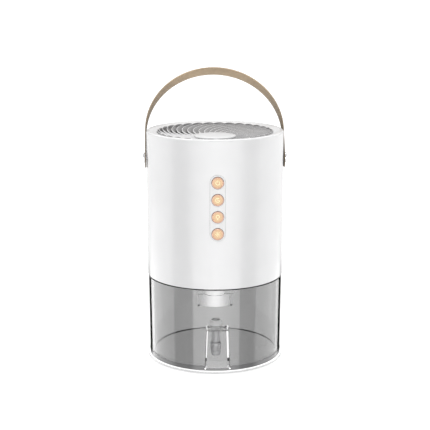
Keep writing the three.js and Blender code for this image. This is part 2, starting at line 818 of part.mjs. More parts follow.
function makeControls() {
  const backPlane = -BODY_R + 3.8;
  const bezelBlank = pushedAlongY(bezelOutline(0), -BODY_R - 3, backPlane);
  const frontSkin = rod([0, 0, BEZEL_LOW - 5], [0, 0, BEZEL_HIGH + 5], BODY_R + 0.3, 72);
  const holes = BUTTON_Z.map((z) => rod([0, -BODY_R - 4, z], [0, backPlane + 2, z], BUTTON_R + GAP, 20));
  addPiece("button_bezel", cut(bezelBlank.intersect(frontSkin), holes), WHITE);

  BUTTON_Z.forEach((z, k) => {
    const cap = rod([0, BUTTON_BACK - 1, z], [0, BUTTON_FACE + 0.5, z], BUTTON_R, 20);
    const face = rod([0, BUTTON_FACE + 0.5, z], [0, BUTTON_FACE, z], BUTTON_R, 20, BUTTON_R - 0.6);
    const flange = rod([0, BUTTON_BACK, z], [0, BUTTON_BACK - 1, z], BUTTON_R + 1.1, 20);
    addPiece(`${BUTTON_NAMES[k]}_button`, joined([cap, face, flange]), PEACH);

    const switchBack = BOARD_FRONT - GAP;
    const body = block([-3, switchBack - 2.7, z - 3], [3, switchBack, z + 3]);
    const plunger = rod([0, switchBack - 2, z], [0, switchBack - 3.5, z], 1.7, 12);
    addPiece(`tact_switch_${BUTTON_NAMES[k]}`, body.add(plunger), BLACK);
  });

  const boardBack = BOARD_FRONT + BOARD_THICKNESS;
  const board = block([-BOARD.half, BOARD_FRONT, BOARD.low], [BOARD.half, boardBack, BOARD.high]);
  addPiece("control_board", board, BOARD_GREEN);
}

function makePowerInlet() {
  const faceY = BODY_R + 0.9;
  const barrel = rod([0, 60, JACK_Z], [0, faceY, JACK_Z], 5.2, 20);
  const flange = rod([0, INNER_R - 1.8, JACK_Z], [0, INNER_R - 0.6, JACK_Z], 7.2, 20);
  const socket = rod([0, 62, JACK_Z], [0, faceY + 1, JACK_Z], 3, 16);
  const pin = rod([0, 61.5, JACK_Z], [0, faceY - 1.5, JACK_Z], 1, 10);
  addPiece("dc_jack", cut(barrel.add(flange), [socket]).add(pin), BLACK);
}

// ---------------------------------------------------------------- leads inside the head

function makeLeads() {
  const leadR = 0.9;
  const leadZ = MODULE.bottom + MODULE.height / 2;
  const boardBack = BOARD_FRONT + BOARD_THICKNESS + GAP;
  // A lead meets the board square on, at a height z.
  const landing = (x, z) => [
    [x, boardBack + 2.5, z],
    [x, boardBack + 0.2, z],
  ];
  for (const [x, name, material] of [
    [-2.6, "black", BLACK],
    [2.6, "red", RED_WIRE],
  ]) {
    const route = [
      [x, -MODULE.side / 2 - GAP, leadZ],
      [x, -36, leadZ],
      [x, -44, leadZ - 3],
      [x, -49, leadZ - 10],
      ...landing(x, leadZ - 14),
    ];
    addPiece(`peltier_lead_${name}`, tube(route, leadR, 14), material);
  }

  const fanRoute = [
    [0, -FAN.side / 2 - GAP, FAN_BOTTOM + 6],
    [0, -50, FAN_BOTTOM + 5],
    [0, -52.5, FAN_BOTTOM],
    [0, -52.5, 192],
    ...landing(0, 186),
  ];
  addPiece("fan_lead", tube(fanRoute, 1.2, 14), BLACK);

  // The supply lead runs from the inlet round the foot of the tray and up to the board.
  const ringR = 51;
  const ringZ = 96;
  const arc = [];
  for (let angle = 75; angle >= -75; angle -= 15) arc.push(polar(ringR, angle, ringZ));
  const supplyRoute = [
    [0, 60 - GAP - 0.2, JACK_Z],
    [0, 57.5, JACK_Z],
    [5, 54.5, JACK_Z - 4],
    ...arc,
    [5, -54.8, 102],
    [4, -54.8, 118],
    [3, -54.8, 130],
    ...landing(3, 139),
  ];
  addPiece("supply_lead", tube(supplyRoute, 1.6, 36), BLACK);

  // The night light's lead runs under the tray to the front and up to the board.
  const lightRoute = [
    [0, -14.2, 92.8],
    [-1, -18, 92.8],
    [-2, -30, 93.6],
    [-4, -44, 96],
    [-5, -52.5, 101],
    [-5, -54.8, 108],
    [-5, -54.8, 128],
    ...landing(-5, 139),
  ];
  addPiece("light_lead", tube(lightRoute, 0.8, 24), BLACK);
}

// ---------------------------------------------------------------- handle

function makeHandle() {
  const half = STRAP.width / 2;
  const inner = STRAP.radius - STRAP.thickness / 2;
  const outer = STRAP.radius + STRAP.thickness / 2;

  // One end of the strap, lying in a plane of constant x, with a rounded tail below the pivot.
  const endOutline = new THREE.Shape();
  endOutline.moveTo(-half, STRAP.leg);
  endOutline.lineTo(-half, -STRAP.tail + half);
  endOutline.absarc(0, -STRAP.tail + half, half, Math.PI, TAU, false);
  endOutline.lineTo(half, STRAP.leg);
  endOutline.closePath();
  const endPlate = new THREE.ExtrudeGeometry(endOutline, {
    depth: STRAP.thickness,
    bevelEnabled: false,
    curveSegments: 6,
  });
  endPlate.rotateX(Math.PI / 2).rotateZ(Math.PI / 2);
  const end = solidOf(endPlate);
  const ends = [end.translate([inner, 0, 0]), end.translate([-outer, 0, 0])];

  const arcSteps = 28;
  const overlap = 0.03; // radians by which the arc runs into the straight legs
  const sections = [];
  for (let k = 0; k <= arcSteps; k++) {
    const angle = -overlap + ((Math.PI + 2 * overlap) * k) / arcSteps;
    const at = (radius, y) => [radius * Math.cos(angle), y, STRAP.leg + radius * Math.sin(angle)];
    sections.push([at(inner, -half), at(outer, -half), at(outer, half), at(inner, half)]);
  }
  const hole = rod([-outer - 2, 0, 0], [outer + 2, 0, 0], RIVET_SHANK_R + GAP);
  const strap = cut(joined([loft(sections), ...ends]), [hole]);

  const swing = new THREE.Group();
  swing.position.set(0, 0, PIVOT_Z);
  swing.rotation.x = THREE.MathUtils.degToRad(-HANDLE_LEAN);
  addPiece("handle_strap", strap, STRAP_TAN, swing);
  dehumidifier.add(swing);

  for (const [side, name] of [
    [-1, "left"],
    [1, "right"],
  ]) {
    const headFoot = side * (outer + GAP);
    const headTop = side * (outer + GAP + 2);
    const shankEnd = side * (INNER_R - 4);
    const head = rod([headFoot, 0, PIVOT_Z], [headTop, 0, PIVOT_Z], RIVET_HEAD_R, 24, RIVET_HEAD_R - 1);
    const shank = rod([shankEnd, 0, PIVOT_Z], [headFoot + side, 0, PIVOT_Z], RIVET_SHANK_R);
    addPiece(`handle_rivet_${name}`, head.add(shank), CHROME);

    const washerOut = side * (INNER_R - 0.7);
    const washerIn = side * (INNER_R - 3);
    const disc = rod([washerIn, 0, PIVOT_Z], [washerOut, 0, PIVOT_Z], 4.6);
    const bore = rod([washerIn - side, 0, PIVOT_Z], [washerOut + side, 0, PIVOT_Z], RIVET_SHANK_R + GAP);
    addPiece(`rivet_washer_${name}`, cut(disc, [bore]), STEEL);
  }
}

makeBase();
makeTank();
makeDrain();
makeHousing();
makeChassis();
makeDripParts();
makeCoolingStack();
makeInnerFrame();
makeFan();
makeGrille();
makeControls();
makePowerInlet();
makeLeads();
makeHandle();

export default dehumidifier;
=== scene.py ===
"""Looks of a desktop thermoelectric dehumidifier: white head, strap handle, clear smoke-grey tank.

Lengths in this file are millimetres until MM turns them into metres. +Z is up and the front faces -Y.
"""

import json
import math

import bmesh
import bpy
from mathutils import Matrix, Vector


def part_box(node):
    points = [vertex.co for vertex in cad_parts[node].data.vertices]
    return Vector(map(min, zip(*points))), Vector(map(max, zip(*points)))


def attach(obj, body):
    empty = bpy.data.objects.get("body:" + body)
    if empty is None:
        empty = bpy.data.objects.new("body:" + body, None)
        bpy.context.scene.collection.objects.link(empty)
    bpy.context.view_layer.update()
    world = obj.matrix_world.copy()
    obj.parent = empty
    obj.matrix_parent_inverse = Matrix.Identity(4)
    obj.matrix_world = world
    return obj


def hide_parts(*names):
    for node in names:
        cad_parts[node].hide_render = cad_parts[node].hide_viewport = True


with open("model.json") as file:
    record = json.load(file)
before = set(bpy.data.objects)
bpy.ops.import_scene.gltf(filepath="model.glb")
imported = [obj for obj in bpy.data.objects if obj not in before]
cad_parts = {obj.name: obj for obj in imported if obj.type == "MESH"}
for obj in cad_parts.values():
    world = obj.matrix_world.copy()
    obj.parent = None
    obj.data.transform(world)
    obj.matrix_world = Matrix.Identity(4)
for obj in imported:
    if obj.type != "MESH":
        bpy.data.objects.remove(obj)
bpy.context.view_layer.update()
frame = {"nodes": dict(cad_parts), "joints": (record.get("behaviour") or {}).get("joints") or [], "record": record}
NODES = frame["nodes"]

MM = 0.001
TAU = 2 * math.pi


def low_high(node):
    """A CAD node's corners, in millimetres."""
    low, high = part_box(node)
    return low / MM, high / MM


def joint_pivot(name):
    """A hinge's centre, in millimetres."""
    joint = next(j for j in frame["joints"] if j["name"] == name)
    return Vector(joint["pos_m"]) / MM


# ---------------------------------------------------------------- sizes read from the frame

BODY_R = low_high("housing_shell")[1].x
BODY_TOP = low_high("housing_shell")[1].z
HEAD_BOTTOM = low_high("housing_shell")[0].z
TANK_BOTTOM = low_high("tank_shell")[0].z
TANK_TOP = low_high("tank_shell")[1].z
PIVOT_Z = joint_pivot("handle_swing").z
BUTTONS = ["power", "timer", "light", "fan"]
BUTTON_Z = [sum(c.z for c in low_high(f"{b}_button")) / 2 for b in BUTTONS]
BUTTON_FRONT = -low_high("power_button")[0].y  # forward of the axis
WALL = 2.2
INNER_R = BODY_R - WALL
GAP = 0.3

GRILLE_R = 58.7
HUB_R = low_high("grille_hub_cap")[1].x
HUB_TOP = low_high("grille_hub_cap")[1].z - 0.3
VANES = 32

# ---------------------------------------------------------------- materials


class Nodes:
    """Small helper that writes a node tree."""

    def __init__(self, name):
        self.material = bpy.data.materials.new(name)
        self.material.use_nodes = True
        self.tree = self.material.node_tree
        self.tree.nodes.clear()
        self.output = self.add("ShaderNodeOutputMaterial")
        self.shader = self.add("ShaderNodeBsdfPrincipled")
        self.link(self.shader, "BSDF", self.output, "Surface")
        self.coordinates = self.add("ShaderNodeTexCoord")

    def add(self, kind, **settings):
        node = self.tree.nodes.new(kind)
        for key, value in settings.items():
            setattr(node, key, value)
        return node

    def link(self, a, out, b, into):
        self.tree.links.new(a.outputs[out], b.inputs[into])

    def set(self, **values):
        for key, value in values.items():
            self.shader.inputs[key.replace("_", " ")].default_value = value

    def noise(self, scale, detail=3.0, roughness=0.5, stretch=None):
        node = self.add("ShaderNodeTexNoise")
        node.inputs["Scale"].default_value = scale
        node.inputs["Detail"].default_value = detail
        node.inputs["Roughness"].default_value = roughness
        if stretch is None:
            self.link(self.coordinates, "Object", node, "Vector")
        else:
            mapping = self.add("ShaderNodeMapping")
            mapping.inputs["Scale"].default_value = stretch
            self.link(self.coordinates, "Object", mapping, "Vector")
            self.link(mapping, "Vector", node, "Vector")
        return node

    def ramp(self, source, out, stops):
        node = self.add("ShaderNodeValToRGB")
        element = node.color_ramp.elements
        while len(element) < len(stops):
            element.new(0.5)
        for entry, (position, colour) in zip(element, stops):
            entry.position = position
            entry.color = (*colour, 1)
        self.link(source, out, node, "Fac")
        return node

    def spread(self, source, out, low, high, into, start=0.3, end=0.7):
        """Maps a pattern to a range of one of the shader's inputs."""
        node = self.add("ShaderNodeMapRange")
        node.inputs["From Min"].default_value = start
        node.inputs["From Max"].default_value = end
        node.inputs["To Min"].default_value = low
        node.inputs["To Max"].default_value = high
        self.link(source, out, node, "Value")
        self.link(node, "Result", self.shader, into)

    def bump(self, source, out, strength, distance, under=None):
        node = self.add("ShaderNodeBump")
        node.inputs["Strength"].default_value = strength
        node.inputs["Distance"].default_value = distance
        self.link(source, out, node, "Height")
        if under is not None:
            self.link(under, "Normal", node, "Normal")
        self.link(node, "Normal", self.shader, "Normal")
        return node


def moulded(name, dark, light, rough=(0.25, 0.32), grain=900, depth=0.00002, mottle=25, **more):
    """Moulded plastic or rubber: faint tone and gloss variation and a fine surface grain."""
    n = Nodes(name)
    tone = n.noise(mottle, 4)
    colours = n.ramp(tone, "Fac", [(0.35, dark), (0.65, light)])
    n.link(colours, "Color", n.shader, "Base Color")
    n.spread(tone, "Fac", rough[0], rough[1], "Roughness")
    fine = n.noise(grain, 2)
    n.bump(fine, "Fac", 0.35, depth)
    n.set(**more)
    return n.material


def metal(name, dark, light, rough, lines=None):
    """Bare metal. lines stretches the grain to drawn or brushed streaks."""
    n = Nodes(name)
    streak = n.noise(60 if lines else 300, 5, 0.6, lines)
    colours = n.ramp(streak, "Fac", [(0.3, dark), (0.7, light)])
    n.link(colours, "Color", n.shader, "Base Color")
    n.spread(streak, "Fac", rough[0], rough[1], "Roughness")
    n.bump(streak, "Fac", 0.15, 0.00003)
    n.set(Metallic=1.0)
    return n.material


def clear_plastic(name, bend):
    """Clear smoke-grey plastic. Its depth of grey comes from the thickness of the wall. bend is its IOR."""
    n = Nodes(name)
    waves = n.noise(18, 2)
    n.spread(waves, "Fac", 0.012, 0.03, "Roughness")
    n.bump(waves, "Fac", 0.06, 0.0004)
    n.set(Transmission_Weight=1.0, IOR=bend, Base_Color=(*SMOKE_TINT, 1))
    absorption = n.add("ShaderNodeVolumeAbsorption")
    absorption.inputs["Color"].default_value = (0.0, 0.0, 0.0, 1)
    absorption.inputs["Density"].default_value = SMOKE_DENSITY
    n.link(absorption, "Volume", n.output, "Volume")
    return n.material


def leather(name, dark, light):
    """Synthetic leather: pebbled grain over a slightly uneven tan, with painted shade that darkens it down the
    strap's legs.
    """
    n = Nodes(name)
    tone = n.noise(35, 5, 0.6)
    colours = n.ramp(tone, "Fac", [(0.3, dark), (0.7, light)])
    height = n.add("ShaderNodeSeparateXYZ")
    n.link(n.coordinates, "Object", height, "Vector")
    # painted shade: the colour is scaled down from the higher height to the lower one
    painted_shade = n.add("ShaderNodeMapRange")
    painted_shade.inputs["From Min"].default_value = LEG_PAINTED_SHADE[0] * MM
    painted_shade.inputs["From Max"].default_value = LEG_PAINTED_SHADE[1] * MM
    painted_shade.inputs["To Min"].default_value = LEG_PAINTED_SHADE[2]
    n.link(height, "Z", painted_shade, "Value")
    shade = n.add("ShaderNodeVectorMath", operation="SCALE")
    n.link(colours, "Color", shade, "Vector")
    n.link(painted_shade, "Result", shade, "Scale")
    n.link(shade, "Vector", n.shader, "Base Color")
    pebble = n.add("ShaderNodeTexVoronoi", feature="SMOOTH_F1")
    pebble.inputs["Scale"].default_value = 1400
    n.link(n.coordinates, "Object", pebble, "Vector")
    fine = n.noise(4000, 3)
    first = n.bump(fine, "Fac", 0.2, 0.00004)
    n.bump(pebble, "Distance", 0.45, 0.00012, under=first)
    n.spread(tone, "Fac", 0.5, 0.66, "Roughness")
    return n.material


def painted_glow_plastic(name, dark, light, edge, middle, radius):
    """Milky plastic with a painted glow, brightest round the object's axis and dimmer towards its sides."""
    n = Nodes(name)
    tone = n.noise(25, 4)
    colours = n.ramp(tone, "Fac", [(0.35, dark), (0.65, light)])
    n.link(colours, "Color", n.shader, "Base Color")
    n.spread(tone, "Fac", 0.3, 0.4, "Roughness")
    parts = n.add("ShaderNodeSeparateXYZ")
    n.link(n.coordinates, "Object", parts, "Vector")
    side = n.add("ShaderNodeMath", operation="ABSOLUTE")
    n.link(parts, "X", side, 0)
    glow = n.add("ShaderNodeMapRange", interpolation_type="SMOOTHSTEP")
    glow.inputs["From Max"].default_value = radius * MM
    glow.inputs["To Min"].default_value = middle
    glow.inputs["To Max"].default_value = edge
    n.link(side, "Value", glow, "Value")
    n.link(glow, "Result", n.shader, "Emission Strength")
    return n.material


def glowing(name, colour, strength):
    """A lit icon behind a thin translucent skin."""
    n = Nodes(name)
    grain = n.noise(2500, 2)
    low = tuple(c * 0.92 for c in colour)
    colours = n.ramp(grain, "Fac", [(0.3, low), (0.7, colour)])
    n.link(colours, "Color", n.shader, "Base Color")
    n.link(colours, "Color", n.shader, "Emission Color")
    n.set(Emission_Strength=strength, Roughness=0.35)
    return n.material


SMOKE_TINT = (0.97, 0.97, 0.97)
SMOKE_DENSITY = 128  # per metre
# painted shade on the strap's legs
LEG_PAINTED_SHADE = (236, 288, 0.32)  # the strap darkens from the higher to the lower height, to this share

WHITE = moulded("white_plastic", (0.83, 0.83, 0.835), (0.86, 0.86, 0.865), (0.2, 0.26), Coat_Weight=0.3)
BEZEL_WHITE = moulded("bezel_white", (0.8, 0.8, 0.8), (0.84, 0.84, 0.84), (0.2, 0.26), Coat_Weight=0.3)
# painted glow: the base's top emits so that it looks lit through the smoky tank
BASE_TOP_PAINTED_GLOW = moulded(
    "base_top_painted_glow", (0.83, 0.83, 0.835), (0.86, 0.86, 0.865), (0.3, 0.4), Emission_Strength=0.8
)
SMOKE = clear_plastic("smoke_plastic", 1.47)
SMOKE_THIN = clear_plastic("smoke_thin", 1.12)
SMOKE_FROST = moulded(
    "smoke_frost", (0.74, 0.74, 0.75), (0.82, 0.82, 0.83), (0.12, 0.2), Transmission_Weight=0.5, IOR=1.47
)
# painted shade: the dark grey of the thin line that the tank's thick clear foot shows
SMOKE_FOOT_PAINTED_SHADE = moulded("smoke_foot_painted_shade", (0.17, 0.17, 0.172), (0.21, 0.21, 0.212), (0.15, 0.22))
# grey with a painted glow, for the faces cut through the tank's wall at the niche
SMOKE_CUT_PAINTED_GLOW = moulded(
    "smoke_cut_painted_glow", (0.34, 0.34, 0.342), (0.4, 0.4, 0.402), (0.15, 0.22), Emission_Strength=0.12
)
# dark plastic for the probe tips, the spout's top and the fine bar above the niche; and painted shade for the bar
# and ring at the nozzle's shoulder
SMOKE_DARK_AND_PAINTED_SHADE = moulded("smoke_dark_and_painted_shade", (0.05, 0.05, 0.05), (0.09, 0.09, 0.09), (0.15, 0.25))
# painted highlight: a light grey that glows, on the spout's domed flange
SPOUT_PAINTED_HIGHLIGHT = moulded(
    "spout_painted_highlight", (0.82, 0.82, 0.82), (0.88, 0.88, 0.88), (0.15, 0.25), Emission_Strength=0.25
)
# painted highlight: a white that glows, for the bright lines down the niche's corners and the specks at its foot
PAINTED_HIGHLIGHT = moulded(
    "painted_highlight", (0.85, 0.85, 0.85), (0.9, 0.9, 0.9), (0.15, 0.25), Emission_Strength=0.9
)
# near-black dots at the ends of the bright lines by the niche
DARK_DOT = moulded("dark_dot", (0.015, 0.015, 0.015), (0.03, 0.03, 0.03), (0.3, 0.4))
# painted glow on the nozzle, brightest along its middle where its shading is brightest
MILKY_PAINTED_GLOW = painted_glow_plastic("frosted_plastic", (0.8, 0.8, 0.8), (0.88, 0.88, 0.88), 0.3, 0.95, 15)
# a dimmer painted glow for the probe holders
MILKY_DIM_PAINTED_GLOW = moulded("frosted_dim_painted_glow", (0.7, 0.7, 0.7), (0.78, 0.78, 0.78), (0.3, 0.4), Emission_Strength=0.22)
GREY = moulded("grey_plastic", (0.3, 0.296, 0.3), (0.335, 0.331, 0.335), (0.38, 0.48))
# painted highlight: a light grey that glows, on the vanes' narrow sides
GREY_PAINTED_HIGHLIGHT = moulded("grey_painted_highlight", (0.8, 0.795, 0.8), (0.88, 0.875, 0.88), (0.2, 0.3), Emission_Strength=0.3)
BLACK = moulded(
    "black_plastic", (0.018, 0.018, 0.02), (0.035, 0.035, 0.038), (0.4, 0.55), depth=0.00006
)
PEACH = moulded("button_face", (0.84, 0.56, 0.32), (0.88, 0.61, 0.36), (0.25, 0.35), grain=1800)
ROSE = metal("button_rim", (0.34, 0.21, 0.16), (0.4, 0.26, 0.2), (0.25, 0.34))
ICON = glowing("icon_glow", (1.0, 0.95, 0.62), 0.2)
SILICONE = moulded("silicone", (0.6, 0.6, 0.58), (0.7, 0.7, 0.68), (0.6, 0.7))
RUBBER = moulded(
    "foot_rubber", (0.03, 0.03, 0.03), (0.05, 0.05, 0.05), (0.8, 0.9), grain=2500, depth=0.0001
)
FOAM = moulded("foam", (0.05, 0.05, 0.055), (0.11, 0.11, 0.12), (0.9, 1.0), grain=1500, depth=0.0004)
BOARD = moulded("circuit_board", (0.01, 0.12, 0.05), (0.02, 0.17, 0.08), (0.35, 0.5), grain=3000)
CERAMIC = moulded("ceramic", (0.8, 0.8, 0.77), (0.88, 0.88, 0.85), (0.5, 0.65), grain=4000)
RED = moulded("red_insulation", (0.42, 0.015, 0.012), (0.52, 0.02, 0.018), (0.4, 0.5))
LEATHER = leather("strap_leather", (0.53, 0.4, 0.26), (0.635, 0.485, 0.325))
CHROME = metal("chrome", (0.7, 0.7, 0.72), (0.8, 0.8, 0.82), (0.1, 0.18))
STEEL_PALE = metal("steel_pale", (0.75, 0.75, 0.76), (0.85, 0.85, 0.86), (0.4, 0.5))
STEEL = metal("steel", (0.45, 0.46, 0.48), (0.58, 0.59, 0.6), (0.28, 0.42))
ALUMINIUM = metal("aluminium", (0.55, 0.56, 0.58), (0.68, 0.69, 0.7), (0.32, 0.45), lines=(3, 0.2, 3))

SLOT_MATERIAL = {
    "white_plastic": WHITE,
    "smoke_plastic": SMOKE,
    "frosted_plastic": MILKY_PAINTED_GLOW,
    "grey_plastic": GREY,
    "black_plastic": BLACK,
    "button_plastic": PEACH,
    "silicone": SILICONE,
    "foot_rubber": RUBBER,
    "foam": FOAM,
    "circuit_board": BOARD,
    "ceramic": CERAMIC,
    "red_insulation": RED,
    "strap_leather": LEATHER,
    "chrome": CHROME,
    "steel": STEEL,
    "aluminium": ALUMINIUM,
}

# ---------------------------------------------------------------- mesh helpers

WELD = 1e-7  # metres
HELD_INSET, HELD_RUN = 0.25, 3  # how near the end a point is put, and how long a long run is


def shaded(mesh, angle):
    """Smooth shading that stays crisp across edges sharper than the angle."""
    bm = bmesh.new()
    bm.from_mesh(mesh)
    limit = math.radians(angle)
    for face in bm.faces:
        face.smooth = True
    for edge in bm.edges:
        edge.smooth = edge.is_manifold and edge.calc_face_angle(math.pi) < limit
    bm.to_mesh(mesh)
    bm.free()


def piece(name, mesh, body, materials, replaces=(), angle=32):
    """Puts a finished mesh into the scene as a piece that rides on a body and may replace CAD nodes."""
    for material in materials:
        mesh.materials.append(material)
    shaded(mesh, angle)
    obj = bpy.data.objects.new(name, mesh)
    bpy.context.scene.collection.objects.link(obj)
    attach(obj, body)
    if replaces:
        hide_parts(*replaces)


def mesh_from(name, bm):
    """Turns a bmesh in millimetres into a mesh in metres, with outward faces."""
    bmesh.ops.scale(bm, vec=(MM, MM, MM), verts=bm.verts)
    bmesh.ops.remove_doubles(bm, verts=bm.verts, dist=WELD)
    bmesh.ops.recalc_face_normals(bm, faces=bm.faces)
    mesh = bpy.data.meshes.new(name)
    bm.to_mesh(mesh)
    bm.free()
    return mesh


def fillet(points, radii, steps=5):
    """Rounds corners of a closed [r, z] profile. radii maps a corner's index to its radius."""
    out = []
    count = len(points)
    for i, here in enumerate(points):
        radius = radii.get(i, 0)
        if not radius:
            out.append(tuple(here))
            continue
        p = Vector(here)
        a = Vector(points[i - 1]) - p
        b = Vector(points[(i + 1) % count]) - p
        half = a.angle(b) / 2
        back = radius / math.tan(half)
        start = p + a.normalized() * back
        end = p + b.normalized() * back
        centre = p + (a.normalized() + b.normalized()).normalized() * (radius / math.sin(half))
        from_angle = math.atan2(start.y - centre.y, start.x - centre.x)
        turn = math.atan2(end.y - centre.y, end.x - centre.x) - from_angle
        turn = (turn + math.pi) % TAU - math.pi
        for k in range(steps + 1):
            t = from_angle + turn * k / steps
            out.append((centre.x + radius * math.cos(t), centre.y + radius * math.sin(t)))
    return out


def held(profile):
    """The profile with a point near each end of every long run, so that the run shades truly straight."""
    points = []
    for a, b in zip(profile, profile[1:] + profile[:1]):
        points.append(a)
        length = math.dist(a, b)
        if length > HELD_RUN:
            for t in (HELD_INSET / length, 1 - HELD_INSET / length):
                points.append((a[0] + (b[0] - a[0]) * t, a[1] + (b[1] - a[1]) * t))
    return points


def skin(bm, rings, closed=False):
    """Joins each ring of vertices to the next, and caps the ends unless closed. Returns the side faces."""
    sides = []
    for a, b in zip(rings, rings[1:] + rings[:1] if closed else rings[1:]):
        for i in range(len(a)):
            j = (i + 1) % len(a)
            sides.append(bm.faces.new([a[i], a[j], b[j], b[i]]))
    if not closed:
        bm.faces.new(rings[0][::-1])
        bm.faces.new(rings[-1])
    return sides


def lathe_into(bm, profile, segments, axis_at=(0, 0)):
    """Turns a closed [r, z] profile round a vertical axis."""
    rings = []
    for k in range(segments):
        c, s = math.cos(TAU * k / segments), math.sin(TAU * k / segments)
        rings.append([bm.verts.new((axis_at[0] + r * c, axis_at[1] + r * s, z)) for r, z in profile])
    count = len(profile)
    for k in range(segments):
        a, b = rings[k], rings[(k + 1) % segments]
        for i in range(count):
            j = (i + 1) % count
            if profile[i][0] == 0 and profile[j][0] == 0:
                continue
            corners = [a[i], b[i], b[j], a[j]]
            if profile[i][0] == 0:
                corners = [a[i], b[j], a[j]]
            elif profile[j][0] == 0:
                corners = [a[i], b[i], a[j]]
            bm.faces.new(corners)


def lathe(name, profile, segments, axis_at=(0, 0)):
    bm = bmesh.new()
    lathe_into(bm, profile, segments, axis_at)
    return mesh_from(name, bm)


def turned_about(name, axis, at, profile, segments):
    """A [r, height] profile turned round an axis through a point."""
    bm = bmesh.new()
    lathe_into(bm, profile, segments)
    turn = Vector((0, 0, 1)).rotation_difference(Vector(axis)).to_matrix().to_4x4()
    bmesh.ops.transform(bm, matrix=Matrix.Translation(at) @ turn, verts=bm.verts)
    return mesh_from(name, bm)


def along_z(x, y, z):
    return (x, y, z)


def along_y(x, z, y):
    return (x, y, z)


def prism(name, outline, low, high, place=along_z, turn=0.0):
    """A flat outline pushed from low to high, and turned about Z."""
    bm = bmesh.new()
    skin(bm, [[bm.verts.new(place(x, y, end)) for x, y in outline] for end in (low, high)])
    if turn:
        bmesh.ops.rotate(bm, cent=(0, 0, 0), matrix=Matrix.Rotation(turn, 3, "Z"), verts=bm.verts)
    return mesh_from(name, bm)


def bar(name, x, across, run, corner=0.0, place=along_z):
    """A straight bar with an outline x by across, each a low and a high, and rounded long edges."""
    outline = [(x[0], across[0]), (x[1], across[0]), (x[1], across[1]), (x[0], across[1])]
    return prism(name, fillet(outline, dict.fromkeys(range(4), corner), 4), *run, place)


def cut(mesh, cutters, operation="DIFFERENCE"):
    """Boolean of a mesh with a list of cutter meshes, all in metres. Returns a new mesh."""
    scene = bpy.context.scene
    target = bpy.data.objects.new("cut_target", mesh)
    scene.collection.objects.link(target)
    tools = []
    for cutter in cutters:
        tool = bpy.data.objects.new("cut_tool", cutter)
        scene.collection.objects.link(tool)
        tools.append(tool)
        modifier = target.modifiers.new("cut", "BOOLEAN")
        modifier.object = tool
        modifier.operation = operation
        modifier.solver = "EXACT"
    graph = bpy.context.evaluated_depsgraph_get()
    result = bpy.data.meshes.new_from_object(target.evaluated_get(graph))
    result.name = mesh.name
    for obj in [target, *tools]:
        bpy.data.objects.remove(obj)
    return result


def stadium(half, low, high, steps=24):
    """An upright pill outline as [x, z] points."""
    points = []
    for k in range(steps + 1):
        t = math.pi * k / steps
        points.append((half * math.cos(t), high - half + half * math.sin(t)))
    for k in range(steps + 1):
        t = math.pi + math.pi * k / steps
        points.append((half * math.cos(t), low + half + half * math.sin(t)))
    return points


def rod(radius, start, end):
    """The [r, height] profile of a plain round rod."""
    return [(0, start), (radius, start), (radius, end), (0, end)]


def round_cutter(radius, start, end, at, direction, segments=48):
    """A plain round cutter between two distances along an axis through a point."""
    return turned_about("cutter", direction, at, rod(radius, start, end), segments)


# ---------------------------------------------------------------- camera, light and floor


CAMERA_DISTANCE, CAMERA_HEIGHT = 1.1640, 0.4067  # metres
CAMERA_AZIMUTH, CAMERA_PITCH = math.radians(-2.18), math.radians(12.5)
LENS = 96.18


def make_camera():
    """Looks slightly down at the front, a little from the left."""
    data = bpy.data.cameras.new("camera")
    data.sensor_width = 36
    data.lens = LENS
    camera = bpy.data.objects.new("camera", data)
    ahead = -CAMERA_DISTANCE * math.cos(CAMERA_AZIMUTH)
    camera.location = (CAMERA_DISTANCE * math.sin(CAMERA_AZIMUTH), ahead, CAMERA_HEIGHT)
    camera.rotation_euler = (math.pi / 2 - CAMERA_PITCH, 0, CAMERA_AZIMUTH)
    bpy.context.scene.collection.objects.link(camera)
    bpy.context.scene.camera = camera


# Brightness of the studio by compass direction: 0 is behind the camera, 90 is to the object's right and 180
# is straight behind the object. HIGH_PANELS is what the head mirrors, and LOW_PANELS, further below the
# horizon, is what the tank mirrors and shows through. Both have a wide soft panel in front, a dark gap at
# each side of it and a dimmer panel beyond. The low ones end in a bright strip and a black card near the
# backdrop, which draw the bright and black lines down the edges of clear plastic.
HIGH_PANELS = [
    (-180, 0.9),
    (-145, 1.3),
    (-120, 1.7),
    (-100, 1.9),
    (-80, 1.4),
    (-74, 0.1),
    (-52, 0.1),
    (-44, 1.3),
    (-22, 3.0),
    (0, 4.0),
    (16, 3.7),
    (36, 2.6),
    (48, 1.0),
    (54, 0.3),
    (70, 0.3),
    (78, 1.4),
    (100, 1.9),
    (120, 1.7),
    (145, 1.3),
    (180, 0.9),
]
LOW_PANELS = [
    (-180, 1.05),
    (-167, 1.0),
    (-164, 0.0),
    (-150, 0.0),
    (-147, 3.2),
    (-136, 3.2),
    (-132, 2.9),
    (-104, 2.4),
    (-79, 1.8),
    (-76, 0.15),
    (-42, 0.15),
    (-40, 2.9),
    (0, 4.0),
    (40, 2.6),
    (42.5, 0.15),
    (71, 0.15),
    (74, 1.8),
    (104, 2.2),
    (128, 2.2),
    (131, 2.5),
    (142, 2.5),
    (145, 0.0),
    (160, 0.0),
    (163, 1.0),
    (180, 1.05),
]
SKY_HORIZON = 0.5
SKY_ZENITH = 1.5
SKY_CAP = 3.2
BRIGHTEST = 5.0
FLOOR_GLOW, FLOOR_GLOW_SEEN = 0.17, 0.5  # the second is what the camera sees

# Heights of the view direction between which one part of the studio goes over into the next.
BELOW_TO_LOW_PANELS = (-0.6, -0.42)
LOW_TO_HIGH_PANELS = (-0.262, -0.254)
PANELS_TO_SKY = (-0.04, 0.0)
HORIZON_TO_ZENITH = (0.2, 1.0)
ZENITH_TO_CAP = (0.9, 0.96)


